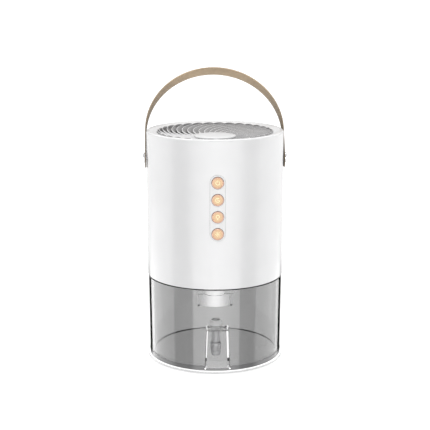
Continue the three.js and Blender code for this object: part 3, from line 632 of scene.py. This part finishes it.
def make_world():
    """A soft sky above, and the panels' glow low down, where the upright walls mirror it."""
    world = bpy.data.worlds.new("studio")
    world.use_nodes = True
    tree = world.node_tree
    background = tree.nodes["Background"]
    background.inputs["Color"].default_value = (1, 1, 1, 1)

    def add(kind, operation=None, **inputs):
        node = tree.nodes.new(kind)
        if operation:
            node.operation = operation
        for key, value in inputs.items():
            node.inputs[key.replace("_", " ")].default_value = value
        return node

    def mixed(factor, a, b):
        """One value going over into another. a and b are sockets or plain numbers."""
        node = add("ShaderNodeMix")
        tree.links.new(factor, node.inputs["Factor"])
        for key, value in (("A", a), ("B", b)):
            if isinstance(value, (int, float)):
                node.inputs[key].default_value = value
            else:
                tree.links.new(value, node.inputs[key])
        return node.outputs["Result"]

    def height_step(low, high):
        """0 below one height of the view direction and 1 above another."""
        node = add("ShaderNodeMapRange", From_Min=low, From_Max=high)
        tree.links.new(parts.outputs["Z"], node.inputs["Value"])
        return node.outputs["Result"]

    def ring(panels):
        """Brightness by compass direction."""
        ramp = add("ShaderNodeValToRGB")
        stops = ramp.color_ramp.elements
        for angle, value in panels:
            ends = {-180: stops[0], 180: stops[-1]}
            stop = ends.get(angle) or stops.new(angle / 360 + 0.5)
            stop.color = (value / BRIGHTEST,) * 3 + (1,)
        tree.links.new(turn.outputs["Result"], ramp.inputs["Fac"])
        scale = add("ShaderNodeMath", "MULTIPLY")
        scale.inputs[1].default_value = BRIGHTEST
        tree.links.new(ramp.outputs["Color"], scale.inputs[0])
        return scale.outputs[0]

    way = add("ShaderNodeTexCoord")
    parts = add("ShaderNodeSeparateXYZ")
    tree.links.new(way.outputs["Generated"], parts.inputs["Vector"])
    front = add("ShaderNodeMath", "MULTIPLY")
    front.inputs[1].default_value = -1
    tree.links.new(parts.outputs["Y"], front.inputs[0])
    compass = add("ShaderNodeMath", "ARCTAN2")
    tree.links.new(parts.outputs["X"], compass.inputs[0])
    tree.links.new(front.outputs[0], compass.inputs[1])
    turn = add("ShaderNodeMapRange", From_Min=-math.pi, From_Max=math.pi)
    tree.links.new(compass.outputs[0], turn.inputs["Value"])

    panels = mixed(height_step(*LOW_TO_HIGH_PANELS), ring(LOW_PANELS), ring(HIGH_PANELS))
    below = mixed(height_step(*BELOW_TO_LOW_PANELS), 1.0, panels)
    above = mixed(height_step(*HORIZON_TO_ZENITH), SKY_HORIZON, SKY_ZENITH)
    above = mixed(height_step(*ZENITH_TO_CAP), above, SKY_CAP)
    glow = mixed(height_step(*PANELS_TO_SKY), below, above)
    path = add("ShaderNodeLightPath")
    tree.links.new(mixed(path.outputs["Is Camera Ray"], glow, 1.0), background.inputs["Strength"])
    bpy.context.scene.world = world


def make_studio():
    """The world and a plain pale floor."""
    scene = bpy.context.scene
    scene.view_settings.view_transform = "Standard"
    make_world()

    n = Nodes("floor_paper")
    grain = n.noise(6, 3)
    colours = n.ramp(grain, "Fac", [(0.3, (0.6, 0.6, 0.6)), (0.7, (0.62, 0.62, 0.62))])
    n.link(colours, "Color", n.shader, "Base Color")
    n.set(Roughness=0.9)
    path = n.add("ShaderNodeLightPath")
    lift = n.add("ShaderNodeMapRange")
    lift.inputs["To Min"].default_value = FLOOR_GLOW
    lift.inputs["To Max"].default_value = FLOOR_GLOW_SEEN
    n.link(path, "Is Camera Ray", lift, "Value")
    n.link(lift, "Result", n.shader, "Emission Strength")
    bm = bmesh.new()
    bmesh.ops.create_circle(bm, cap_ends=True, segments=96, radius=30)
    mesh = bpy.data.meshes.new("floor")
    bm.to_mesh(mesh)
    bm.free()
    mesh.materials.append(n.material)
    floor = bpy.data.objects.new("floor", mesh)
    floor.visible_glossy = False
    floor.visible_transmission = False
    scene.collection.objects.link(floor)


# ---------------------------------------------------------------- head

SLOT_COLUMNS = 9
SLOT_STEP = 7.5
SLOT_HALF = 1.5
SLOT_ROWS = [(114, 136), (142, 164)]
JACK_Z = sum(c.z for c in low_high("dc_jack")) / 2
JACK_HOLE_R = 5.6
RIVET_HOLE_R = 2.3
BEZEL_LOW, BEZEL_HIGH = low_high("button_bezel")[0].z, low_high("button_bezel")[1].z
BEZEL_HALF = low_high("button_bezel")[1].x
BEZEL_GROOVE = 0.16
BUTTON_HOLE_R = 6.15
RIM_FLAT, RIM_DISH, RIM_DEPTH = 4.2, 1.8, 2.6
OVERCUT = 4  # how far a cutter reaches past a wall


def make_housing():
    """The head's shell with its dished rim, intake slots, holes for jack and rivets, and bezel groove."""
    opening = GRILLE_R + 0.7
    profile = [
        (BODY_R, HEAD_BOTTOM),
        (BODY_R, BODY_TOP),
        (BODY_R - RIM_FLAT, BODY_TOP),
        (opening, BODY_TOP - RIM_DISH),
        (opening, BODY_TOP - RIM_DEPTH),
        (INNER_R, BODY_TOP - RIM_DEPTH),
        (INNER_R, HEAD_BOTTOM),
    ]
    rounded = fillet(profile, {0: 0.5, 1: 1.6, 3: 0.2}, 6)
    shell = lathe("housing", held(rounded), 240)
    cutters = []
    for column in range(SLOT_COLUMNS):
        turn = math.radians((column - (SLOT_COLUMNS - 1) / 2) * SLOT_STEP)
        for low, high in SLOT_ROWS:
            outline = stadium(SLOT_HALF, low, high, 10)
            cutters.append(prism("cutter", outline, INNER_R - OVERCUT, BODY_R + OVERCUT, along_y, turn))
    start, end = INNER_R - 6, BODY_R + OVERCUT
    cutters.append(round_cutter(JACK_HOLE_R, start, end, (0, 0, JACK_Z), (0, 1, 0)))
    for side in (-1, 1):
        cutters.append(round_cutter(RIVET_HOLE_R, start, end, (0, 0, PIVOT_Z), (side, 0, 0), 32))
    pill = stadium(BEZEL_HALF + BEZEL_GROOVE, BEZEL_LOW - BEZEL_GROOVE, BEZEL_HIGH + BEZEL_GROOVE)
    cutters.append(prism("cutter", pill, -BODY_R - OVERCUT, -INNER_R + 12, along_y))
    shell = cut(shell, cutters)
    piece("housing", shell, "head", [WHITE], ["housing_shell"], 28)


def make_bezel():
    """The pill-shaped insert round the buttons, its front curved like the housing."""
    front, back = BODY_R + 0.25, BODY_R - 3.8
    blank = prism("bezel", stadium(BEZEL_HALF, BEZEL_LOW, BEZEL_HIGH, 32), -BODY_R - 3, -back, along_y)
    blank = cut(blank, [lathe("cutter", rod(front, BEZEL_LOW - 5, BEZEL_HIGH + 5), 720)], "INTERSECT")
    holes = [round_cutter(BUTTON_HOLE_R, back - 3, BODY_R + 5, (0, 0, z), (0, -1, 0), 64) for z in BUTTON_Z]
    piece("bezel", cut(blank, holes), "head", [BEZEL_WHITE], ["button_bezel"], 28)


BUTTON_R, FACE_R = 5.8, 4.65
BUTTON_RIM_R, RIM_DEEP = 5.85, 1.2
COLLAR_R, COLLAR = 6.9, 1  # the lip that keeps a button behind the bezel
BUTTON_LENGTH = 6.3


def button_face(t):
    """How far forward a button's dished face is. t goes from 0 in its middle to 1 at its rim."""
    return BUTTON_FRONT - 0.42 + 0.22 * t * t


def make_buttons():
    """Each button is a cap with a dished face, a metal rim round it and a lit icon on it."""
    front, back = BUTTON_FRONT, BUTTON_FRONT - BUTTON_LENGTH
    rim_back = front - RIM_DEEP
    shoulder = rim_back - 0.05
    rim = [(FACE_R, rim_back), (BUTTON_RIM_R, rim_back), (BUTTON_RIM_R, front), (FACE_R, front)]
    cap = [(FACE_R * t, button_face(t)) for t in (0, 0.2, 0.4, 0.6, 0.8, 1)]
    cap += [(FACE_R, shoulder), (BUTTON_R, shoulder), (BUTTON_R, back + COLLAR)]
    cap += [(COLLAR_R, back + COLLAR), (COLLAR_R, back), (0, back)]
    for button, z, icon in zip(BUTTONS, BUTTON_Z, [icon_power, icon_timer, icon_light, icon_fan]):
        body, at = f"{button}_key", (0, 0, z)
        mesh = turned_about("rim", (0, -1, 0), at, fillet(rim, {2: 0.35, 3: 0.25}, 5), 96)
        piece(f"{button}_rim", mesh, body, [ROSE])
        mesh = turned_about("cap", (0, -1, 0), at, cap, 96)
        piece(f"{button}_cap", mesh, body, [PEACH], [f"{button}_button"])
        bm = bmesh.new()
        icon(bm)
        for vertex in bm.verts:
            x, up, depth = vertex.co
            vertex.co = (x, -(button_face(math.hypot(x, up) / FACE_R) + depth), z + up)
        piece(f"{button}_icon", mesh_from("icon", bm), body, [ICON])


def stroke(bm, points, width, closed=False, thick=0.1, sunk=0.05):
    """A raised line through [x, up] points, for an icon."""
    count = len(points)
    left, right = [], []
    for i, point in enumerate(points):
        before = Vector(points[i - 1] if i or closed else points[0])
        after = Vector(points[(i + 1) % count] if i < count - 1 or closed else points[-1])
        along = (after - before).normalized()
        across = Vector((-along.y, along.x)) * width / 2
        left.append(Vector(point) + across)
        right.append(Vector(point) - across)
    rings = []
    for a, b in zip(left, right):
        corners = [(a, -sunk), (a, thick), (b, thick), (b, -sunk)]
        rings.append([bm.verts.new((p.x, p.y, d)) for p, d in corners])
    skin(bm, rings, closed)


def arc(radius, start, end, steps, centre=(0, 0)):
    """Points along a part of a circle. start and end are in degrees."""
    points = []
    for k in range(steps + 1):
        t = math.radians(start + (end - start) * k / steps)
        points.append((centre[0] + radius * math.cos(t), centre[1] + radius * math.sin(t)))
    return points


def icon_power(bm):
    stroke(bm, arc(1.9, 125, 415, 36), 0.62)
    stroke(bm, [(0, 0.5), (0, 2.5)], 0.62)


def icon_timer(bm):
    stroke(bm, arc(2.0, 50, 360, 36), 0.6)
    stroke(bm, [(0, 1.2), (0, 0), (0.9, -0.5)], 0.5)


def icon_light(bm):
    stroke(bm, arc(1.6, -50, 230, 32, (0, 0.45)), 0.6)
    stroke(bm, [(-0.85, -1.35), (0.85, -1.35)], 0.5)
    stroke(bm, [(-0.6, -2.15), (0.6, -2.15)], 0.5)


def icon_fan(bm):
    stroke(bm, arc(0.7, 0, 345, 23), 0.6, closed=True)
    for k in range(8):
        t = TAU * k / 8
        c, s = math.cos(t), math.sin(t)
        stroke(bm, [(1.55 * c, 1.55 * s), (2.5 * c, 2.5 * s)], 0.5)


GRILLE_FLOOR, GRILLE_DISH = 231.0, 5.6
VANE_SWEEP = 46  # degrees from hub to rim
VANE_SPREAD = 0.88  # share of the pitch that a vane covers, seen from above
VANE_DROP = 4.0
TIP_START, TIP_LENGTH = 0.94, 0.065
CROWN_IN, CROWN_OUT, CROWN_FOOT, CROWN_LOW, CROWN_ARCH = 58.25, 59.15, 234.6, 236.2, 1.2
CROWN_CHAMFER = 0.2
LEGS, LEG_R, LEG_AT, LEG_TURN = 4, 2, 57, 39

# A vane's cross-section as [share of its spread, drop below its crest].
VANE_SECTION = [
    (0.0, 0.0),
    (0.07, 0.0),
    (0.5, 1.9),
    (1.0, VANE_DROP),
    (0.96, VANE_DROP + 0.9),
    (0.45, 2.9),
    (0.0, 1.2),
]
PAINTED_HIGHLIGHT_SIDES = (0, len(VANE_SECTION) - 1)  # the narrow sides that get a painted highlight where they would catch the light


def reach(radius):
    """0 at the hub and 1 at the grille's rim."""
    return (radius - HUB_R) / (GRILLE_R - HUB_R)


def crown():
    """The low upright edge round the vanes, scalloped with one arch over the tip of each."""
    bm = bmesh.new()
    count = VANES * 12
    inner, outer = CROWN_IN, CROWN_OUT
    rings = []
    for k in range(count):
        turn = math.radians(360 * k / count - 1.0)
        top = CROWN_LOW + CROWN_ARCH * abs(math.sin(math.pi * k * VANES / count)) ** 0.7
        side = top - CROWN_CHAMFER
        section = [(inner, CROWN_FOOT), (outer, CROWN_FOOT), (outer, side)]
        section += [(outer - CROWN_CHAMFER, top), (inner + CROWN_CHAMFER, top), (inner, side)]
        rings.append([bm.verts.new((r * math.cos(turn), r * math.sin(turn), z)) for r, z in section])
    skin(bm, rings, closed=True)
    return mesh_from("crown", bm)


def vanes():
    """Thin curved vanes that sweep from the hub to the rim and follow the grille's dish."""
    bm = bmesh.new()
    pitch = 360 / VANES
    steps = 22
    for k in range(VANES):
        rings = []
        for i in range(steps + 1):
            t = i / steps
            radius = HUB_R - 0.6 + t * (GRILLE_R - HUB_R + 0.4)
            angle = pitch * k - VANE_SWEEP * max(0.0, reach(radius)) ** 1.9
            crest = GRILLE_FLOOR + GRILLE_DISH * reach(max(radius, HUB_R)) ** 1.3
            tip = 1.0 if t < TIP_START else math.sqrt(max(0.04, 1 - ((t - TIP_START) / TIP_LENGTH) ** 2))
            ring = []
            for across, down in VANE_SECTION:
                turn = math.radians(angle - pitch * VANE_SPREAD * across * tip)
                ring.append(bm.verts.new((radius * math.cos(turn), radius * math.sin(turn), crest - down)))
            rings.append(ring)
        # the narrow sides get the painted highlight
        for n, face in enumerate(skin(bm, rings)):
            face.material_index = 1 if n % len(VANE_SECTION) in PAINTED_HIGHLIGHT_SIDES else 0
    return mesh_from("vanes", bm)


def make_grille():
    """Crown, vanes, the ring under their tips, the plate and cap at the hub, and the legs."""
    ring = [(55.5, 229.6), (62.5, 229.6), (62.5, 235), (59, 235), (57.4, 233.2), (55.5, 232.2)]
    plate = rod(HUB_R + 1, 226.6, 230.8)
    piece("grille_crown", crown(), "head", [GREY])
    piece("grille_vanes", vanes(), "head", [GREY, GREY_PAINTED_HIGHLIGHT], ["outlet_grille"], 40)
    piece("grille_ring", lathe("grille_ring", fillet(ring, {3: 0.5}, 4), 192), "head", [GREY])
    piece("grille_plate", lathe("grille_plate", fillet(plate, {2: 0.5}), 128), "head", [GREY])
    for k in range(LEGS):
        a = math.radians(LEG_TURN + 360 / LEGS * k)
        at = (LEG_AT * math.cos(a), LEG_AT * math.sin(a))
        leg = lathe("grille_leg", fillet(rod(LEG_R, 224.6, 230.5), {1: 0.3}), 32, at)
        piece(f"grille_leg_{k + 1}", leg, "head", [GREY])
    cap = [(0, HUB_TOP - 1.3), (HUB_R, HUB_TOP - 1.3), (HUB_R, HUB_TOP - 0.15)]
    cap += [(HUB_R * 0.5, HUB_TOP + 0.12), (0, HUB_TOP + 0.2)]
    cap = lathe("hub_cap", fillet(cap, {2: 0.35}, 6), 160)
    piece("hub_cap", cap, "head", [WHITE], ["grille_hub_cap"])


# ---------------------------------------------------------------- handle

LEAN = math.radians(-33)
STRAP_R, STRAP_T, STRAP_W, STRAP_LEG, STRAP_TAIL = 70.98, 1.1, 16.0, 28.2, 11.0
STRAP_EDGE = 0.45
LEG_STEPS, BOW_STEPS = 12, 96


def strap_frame():
    """The strap's centreline as (point, outward) pairs in its own upright plane, from tail to tail."""
    frames = []
    for k in range(LEG_STEPS + 1):
        up = -STRAP_TAIL + (STRAP_LEG + STRAP_TAIL) * k / LEG_STEPS
        frames.append(((STRAP_R, up), (1, 0)))
    for k in range(1, BOW_STEPS):
        c, s = math.cos(math.pi * k / BOW_STEPS), math.sin(math.pi * k / BOW_STEPS)
        frames.append(((STRAP_R * c, STRAP_LEG + STRAP_R * s), (c, s)))
    for k in range(LEG_STEPS + 1):
        up = STRAP_LEG - (STRAP_LEG + STRAP_TAIL) * k / LEG_STEPS
        frames.append(((-STRAP_R, up), (-1, 0)))
    return frames


def make_handle():
    """The flat strap with rounded edges and a round tail below each pivot."""
    half = STRAP_W / 2
    wide, deep = half - STRAP_EDGE, STRAP_T / 2 - STRAP_EDGE
    section = []
    for cx, cy, start in [(wide, deep, 0), (-wide, deep, 90), (-wide, -deep, 180), (wide, -deep, 270)]:
        section += arc(STRAP_EDGE, start, start + 90, 4, (cx, cy))
    bm = bmesh.new()
    rings = []
    for (x, up), (nx, nup) in strap_frame():
        below = -STRAP_TAIL + half - up
        keep = 1.0 if below <= 0 else math.sqrt(max(0.0025, 1 - (below / half) ** 2))
        rings.append([bm.verts.new((x + nx * out, across * keep, up + nup * out)) for across, out in section])
    skin(bm, rings)
    place = Matrix.Translation((0, 0, PIVOT_Z)) @ Matrix.Rotation(LEAN, 4, "X")
    bmesh.ops.transform(bm, matrix=place, verts=bm.verts)
    piece("strap", mesh_from("strap", bm), "handle", [LEATHER], ["handle_strap"], 50)


def make_rivets():
    """The domed rivets that the strap turns on."""
    outer = STRAP_R + 0.6 + GAP
    dome = [(0, outer - 6), (2, outer - 6), (2, outer)]
    steps = [(5.3, 0), (5.35, 0.45), (4.7, 1.15), (3.4, 1.65), (1.8, 1.92), (0, 2)]
    dome += [(r, outer + rise) for r, rise in steps]
    for side, name in ((-1, "left"), (1, "right")):
        mesh = turned_about("rivet", (side, 0, 0), (0, 0, PIVOT_Z), dome, 96)
        piece(f"rivet_{name}", mesh, "head", [CHROME], [f"handle_rivet_{name}"], 40)


# ---------------------------------------------------------------- tank and base

NICHE_HALF_LOW, NICHE_HALF_TOP = 12.2, 10.8
NICHE_BACK_LOW, NICHE_BACK_TOP = -46.0, -52.0
NICHE_ROOF, NICHE_WALL = 45.0, 0.35
NICHE_CORNER, NICHE_CORNER_OUT = 1.0, 1.8
SPOUT_X = sum(c.x for c in low_high("drain_cap")) / 2
SPOUT_Y = sum(c.y for c in low_high("drain_cap")) / 2
SPOUT_HOLE_R = 4.8
TANK_WALL = 4.0
TANK_R_LOW, TANK_R_TOP = 68.6, 69.5
FLOOR_TOP = TANK_BOTTOM + 2.8
# the foot's darker line is painted shade, drawn by a grey skin
BAND_TOP = TANK_BOTTOM + 5.0  # the tank's thick foot, which shows as a thin darker line
BAND_TOP_BEHIND = TANK_BOTTOM + 1.6
SLACK = 0.03  # between the tank's shell and the walls of its niche


def niche_at(z):
    """The niche's half width and the place of its back at a height."""
    t = (z - TANK_BOTTOM) / (NICHE_ROOF - TANK_BOTTOM)
    half = NICHE_HALF_LOW + (NICHE_HALF_TOP - NICHE_HALF_LOW) * t
    return half, NICHE_BACK_LOW + (NICHE_BACK_TOP - NICHE_BACK_LOW) * t


def niche_solid(grow, bottom, top, corner):
    """The niche as a tapered block with rounded upright corners."""
    bm = bmesh.new()
    rings = []
    for z in (bottom, top):
        half, back = niche_at(z)
        half += grow
        back += grow
        outline = [(-half, -BODY_R - 8), (half, -BODY_R - 8), (half, back), (-half, back)]
        outline = fillet(outline, {2: corner, 3: corner}, 6)
        rings.append([bm.verts.new((x, y, z)) for x, y in outline])
    skin(bm, rings)
    return mesh_from("niche", bm)


def make_tank():
    """The clear shell, open where the niche is."""
    profile = [
        (0, TANK_BOTTOM),
        (TANK_R_LOW - 3, TANK_BOTTOM),
        (TANK_R_LOW, TANK_BOTTOM),
        (TANK_R_LOW + 0.02, BAND_TOP),
        (TANK_R_TOP, TANK_TOP),
        (TANK_R_TOP - TANK_WALL, TANK_TOP),
        (TANK_R_LOW - TANK_WALL, FLOOR_TOP),
        (0, FLOOR_TOP),
    ]
    rounded = fillet(profile, {2: 0.5, 4: 0.4, 5: 0.3, 6: 1.6}, 6)
    grow = NICHE_WALL + SLACK
    opening = niche_solid(grow, FLOOR_TOP, NICHE_ROOF + grow, NICHE_CORNER_OUT)
    # the faces cut through the wall at the niche get the grey painted glow
    shell = cut(lathe("tank", held(rounded), 240), [opening])
    for face in shell.polygons:
        x, y, z = face.center / MM
        radius = math.hypot(x, y)
        within_wall = TANK_R_LOW - TANK_WALL + 0.2 < radius < TANK_R_LOW - 0.2
        at_niche = y < 0 and abs(x) < NICHE_HALF_LOW + 2 and z > FLOOR_TOP + 0.1
        outward = abs(face.normal.x * x + face.normal.y * y) / max(radius, 1)
        if within_wall and at_niche and outward < 0.6:
            face.material_index = 1
    piece("tank_clear", shell, "tank", [SMOKE, SMOKE_CUT_PAINTED_GLOW], ["tank_shell"], 25)


def make_tank_foot():
    """A thin grey skin of painted shade round the tank's foot, low behind and open at the niche."""
    foot = TANK_R_LOW + 0.03
    ring = [(foot - 0.4, TANK_BOTTOM - 0.05), (foot + 0.1, TANK_BOTTOM + 0.4), (foot + 0.16, BAND_TOP)]
    ring += [(foot + 0.04, BAND_TOP), (foot, TANK_BOTTOM + 0.5)]
    opening = niche_solid(0, FLOOR_TOP, NICHE_ROOF, NICHE_CORNER)
    behind = bar("cutter", (-80, 80), (8, 80), (BAND_TOP_BEHIND, BAND_TOP + 5))
    band = cut(lathe("band", held(ring), 240), [opening, behind])
    piece("tank_foot_painted_shade", band, "tank", [SMOKE_FOOT_PAINTED_SHADE], (), 25)


def make_alcove():
    """The niche's thin walls and roof, with the hole for the spout."""
    envelope = [(0, 0), (TANK_R_LOW, TANK_BOTTOM), (TANK_R_TOP, TANK_TOP), (0, TANK_TOP)]
    block = niche_solid(NICHE_WALL, FLOOR_TOP + SLACK, NICHE_ROOF + NICHE_WALL, NICHE_CORNER_OUT)
    block = cut(block, [lathe("envelope", envelope, 240)], "INTERSECT")
    at = (SPOUT_X, SPOUT_Y, 0)
    hole = round_cutter(SPOUT_HOLE_R, NICHE_ROOF - 3, NICHE_ROOF + 6, at, (0, 0, 1))
    alcove = cut(block, [niche_solid(0, FLOOR_TOP - 1, NICHE_ROOF, NICHE_CORNER), hole])
    piece("tank_alcove", alcove, "tank", [SMOKE_THIN], (), 25)


BEAD_R, BEAD_SIDES, BEAD_FOOT = 0.85, 12, 4.0
BLOB_STEPS = 8


def highlight_bead(name, points):
    """A slim rod of painted highlight through points, with its first span and its ends dark."""
    bm = bmesh.new()
    rings = []
    for x, y, z in points:
        circle = arc(BEAD_R, 0, 360, BEAD_SIDES, (x, y))[:-1]
        rings.append([bm.verts.new((*at, z)) for at in circle])
    skin(bm, rings)
    for n, face in enumerate(bm.faces):
        highlight_span = BEAD_SIDES <= n < BEAD_SIDES * (len(points) - 1)
        face.material_index = 0 if highlight_span else 1
    piece(name, mesh_from(name, bm), "tank", [PAINTED_HIGHLIGHT, DARK_DOT])


def blob(name, at, radius, material):
    """A small round blob."""
    profile = []
    for k in range(BLOB_STEPS + 1):
        t = math.pi * k / BLOB_STEPS - math.pi / 2
        profile.append((max(0.0, radius * math.cos(t)), at[2] + radius * math.sin(t)))
    piece(name, lathe(name, profile, 20, at[:2]), "tank", [material])


def make_niche_details():
    """Beads of painted highlight up the niche's back corners, dark dots at their ends, specks of painted highlight
    at its foot, and a fine dark bar.
    """
    low, high = FLOOR_TOP + 0.1, NICHE_ROOF + 1.8
    for side, name in ((-1, "left"), (1, "right")):
        points = []
        for z in (low, low + BEAD_FOOT, high):
            half, back = niche_at(z)
            points.append((side * (half - 0.6) + 0.25, back - 0.9, z))
        highlight_bead(f"niche_highlight_{name}", points)
        blob(f"niche_dark_dot_{name}", (side * 8.65 - 0.55, -63.9, NICHE_ROOF + 3.5), 1.05, DARK_DOT)
        # white specks of painted highlight at the niche's front foot corners
        blob(f"foot_highlight_{name}", (side * 12.3, -67.5, TANK_BOTTOM + 2.2), 0.8, PAINTED_HIGHLIGHT)
    lip = bar("lip", (-9.2, 8.1), (48.25, 48.75), (-64.1, -63.7), 0.2, along_y)
    piece("niche_lip", lip, "tank", [SMOKE_DARK_AND_PAINTED_SHADE])


def make_base():
    """The base plate, with a painted glow on its top that stands in for light reaching it through the tank."""
    low, high = low_high("base_plate")
    mesh = lathe("base", fillet(rod(high.x, low.z, high.z), {1: 0.8, 2: 0.6}, 6), 240)
    # the upward faces get the painted glow
    for face in mesh.polygons:
        if face.normal.z > 0.99:
            face.material_index = 1
    piece("base", mesh, "tank", [WHITE, BASE_TOP_PAINTED_GLOW], ["base_plate"])


NOZZLE_R, NOZZLE_BORE, NOZZLE_FLANGE, NOZZLE_SHOULDER = 10, 6, 14.2, 64.5
BELL_R, BELL_WALL, BELL_SQUEEZE = 15.0, 2, 0.5
HOLDER_IN, HOLDER_DEEP, HOLDER_CORNER = 9.4, 2.6, 0.8
STEM_R, STEM_HEAD_R, STEM_HEAD, TIP_R = 0.8, 2.4, 1.8, 1.15


def make_nozzle():
    """The nozzle with a painted glow: a round tube and an oval bell under it."""
    low, high = low_high("drip_nozzle")
    shoulder, under_flange = NOZZLE_SHOULDER, high.z - 1.2
    tube = [(NOZZLE_BORE, high.z), (NOZZLE_FLANGE, high.z), (NOZZLE_FLANGE, under_flange)]
    tube += [(NOZZLE_R, under_flange), (NOZZLE_R, shoulder), (NOZZLE_BORE, shoulder)]
    mesh = lathe("tube", fillet(tube, {1: 0.4, 2: 0.4, 4: 0.5}, 5), 128)
    piece("nozzle_tube", mesh, "head", [MILKY_PAINTED_GLOW], ["drip_nozzle"])

    neck, inner = NOZZLE_R + 0.5, BELL_R - BELL_WALL
    bell = [(neck, shoulder - 0.1), (BELL_R, shoulder - 0.1), (BELL_R - 0.2, low.z), (inner, low.z)]
    bell += [(inner, shoulder - 2), (neck, shoulder - 2)]
    mesh = lathe("bell", fillet(bell, {1: 0.5, 2: 0.4, 3: 0.4}, 5), 128)
    for vertex in mesh.vertices:
        vertex.co.y *= BELL_SQUEEZE
    piece("nozzle_bell", mesh, "head", [MILKY_PAINTED_GLOW])


def make_probes():
    """The two level probes, each a steel stem with a dark tip, in a holder at the nozzle's side."""
    far = low_high("drip_nozzle")[1].x
    run = (NOZZLE_SHOULDER + 0.5, NOZZLE_SHOULDER + 5.5)
    for side, name in ((-1, "left"), (1, "right")):
        ends = sorted((side * HOLDER_IN, side * far))
        holder = bar("holder", ends, (-HOLDER_DEEP, HOLDER_DEEP), run, HOLDER_CORNER)
        # the holder gets the dimmer painted glow
        piece(f"probe_holder_{name}", holder, "head", [MILKY_DIM_PAINTED_GLOW])
        low, high = low_high(f"level_probe_{name}")
        at = ((low.x + high.x) / 2, 0)
        start, head = low.z + 1.6, high.z - STEM_HEAD
        stem = [(0, start), (STEM_R, start), (STEM_R, head), (STEM_HEAD_R, head)]
        stem += [(STEM_HEAD_R, high.z), (0, high.z)]
        mesh = lathe("stem", fillet(stem, {4: 0.6}, 4), 32, at)
        piece(f"probe_stem_{name}", mesh, "head", [STEEL_PALE], [f"level_probe_{name}"])
        mesh = lathe("tip", fillet(rod(TIP_R, low.z, low.z + 2), {1: 0.5, 2: 0.2}, 4), 32, at)
        piece(f"probe_tip_{name}", mesh, "head", [SMOKE_DARK_AND_PAINTED_SHADE])


def make_nozzle_shade_lines():
    """A dark bar and ring where the nozzle's tube meets its bell, painted shade for the shadow line there."""
    shoulder = NOZZLE_SHOULDER
    half, deep = low_high("drip_nozzle")[1].x, HOLDER_DEEP + 0.1
    shade_bar = bar("shade_bar", (-half, half), (-deep, deep), (shoulder, shoulder + 0.5), HOLDER_CORNER)
    piece("nozzle_shade_bar", shade_bar, "head", [SMOKE_DARK_AND_PAINTED_SHADE])
    inner, outer, low_z, high_z = NOZZLE_R - 0.6, NOZZLE_R + 0.12, shoulder - 0.25, shoulder + 0.3
    shade_ring = fillet([(inner, low_z), (outer, low_z), (outer, high_z), (inner, high_z)], {1: 0.2, 2: 0.2}, 3)
    piece("nozzle_shade_ring", lathe("shade_ring", shade_ring, 128), "head", [SMOKE_DARK_AND_PAINTED_SHADE])


NECK_R, BARB_R, BORE_R = 4.4, 3.0, 1.8
FLANGE_HEIGHT = 6.4
CAP_FLOOR = 19.5


def make_drain():
    """The spout with its domed flange and barbed tip, the cap with its grip rings, and the flat seal."""
    at = (SPOUT_X, SPOUT_Y)
    low, high = low_high("drain_spout")
    cap_low, cap_high = low_high("drain_cap")
    flange_r, flange = high.x, high.z - FLANGE_HEIGHT
    neck_end = cap_high.z + GAP
    spout = [
        (BORE_R, low.z),
        (BARB_R - 0.6, low.z),
        (BARB_R, low.z + 2),
        (BARB_R - 0.5, low.z + 2.2),
        (BARB_R, low.z + 4.4),
        (BARB_R, neck_end),
        (NECK_R, neck_end),
        (NECK_R, flange),
        (flange_r, flange),
        (flange_r, flange + 3.4),
        (flange_r - 2.2, flange + 5.8),
        (BORE_R + 0.6, flange + 6.4),
        (BORE_R, flange + 6),
    ]
    mesh = lathe("spout", fillet(spout, {6: 0.4, 8: 0.4, 9: 1.2, 10: 1.6}, 6), 96, at)
    # the top ring is dark, and the flange's dome gets the painted highlight
    for face in mesh.polygons:
        z = face.center.z / MM
        if z > high.z - 1.3:
            face.material_index = 2
        elif z > flange - 0.2:
            face.material_index = 1
    piece("spout", mesh, "tank", [SMOKE_FROST, SPOUT_PAINTED_HIGHLIGHT, SMOKE_DARK_AND_PAINTED_SHADE], ["drain_spout"])

    # The cap's outside, from its tip up, as [radius, height above the tip].
    grips = [(0, 0), (4.3, 0), (5.0, 3), (4.55, 5), (5.5, 6.4), (5.2, 7.3), (5.5, 8.2), (5.2, 9.1), (5.5, 10)]
    cap = [(r, cap_low.z + rise) for r, rise in grips]
    cap += [(5.5, cap_high.z - 1), (4.9, cap_high.z), (BARB_R + GAP, cap_high.z)]
    cap += [(BARB_R + GAP, CAP_FLOOR), (0, CAP_FLOOR)]
    mesh = lathe("cap", fillet(cap, {1: 1.2, 2: 0.8, 3: 0.6, 4: 0.5, 9: 0.4, 10: 0.3}, 5), 96, at)
    piece("drain_stopper", mesh, "drain_plug", [SMOKE_FROST], ["drain_cap"])

    low, high = low_high("drain_seal")
    inner, outer = NECK_R + GAP, high.x
    ring = fillet([(inner, low.z), (outer, low.z), (outer, high.z), (inner, high.z)], {1: 0.45, 2: 0.45}, 5)
    piece("spout_seal", lathe("seal", ring, 96, at), "tank", [SILICONE], ["drain_seal"])


# ---------------------------------------------------------------- carried-over CAD nodes


def finish_nodes():
    """Every CAD node that still shows gets the material of its slot."""
    slots = {p["node"]: p["material_slot"] for p in frame["record"]["subparts"]}
    for name, obj in NODES.items():
        if obj.hide_render:
            continue
        obj.data.materials.clear()
        obj.data.materials.append(SLOT_MATERIAL[slots[name]])


make_camera()
make_studio()
make_housing()
make_bezel()
make_buttons()
make_grille()
make_handle()
make_rivets()
make_tank()
make_tank_foot()
make_alcove()
make_niche_details()
make_base()
make_nozzle()
make_probes()
make_nozzle_shade_lines()
make_drain()
finish_nodes()
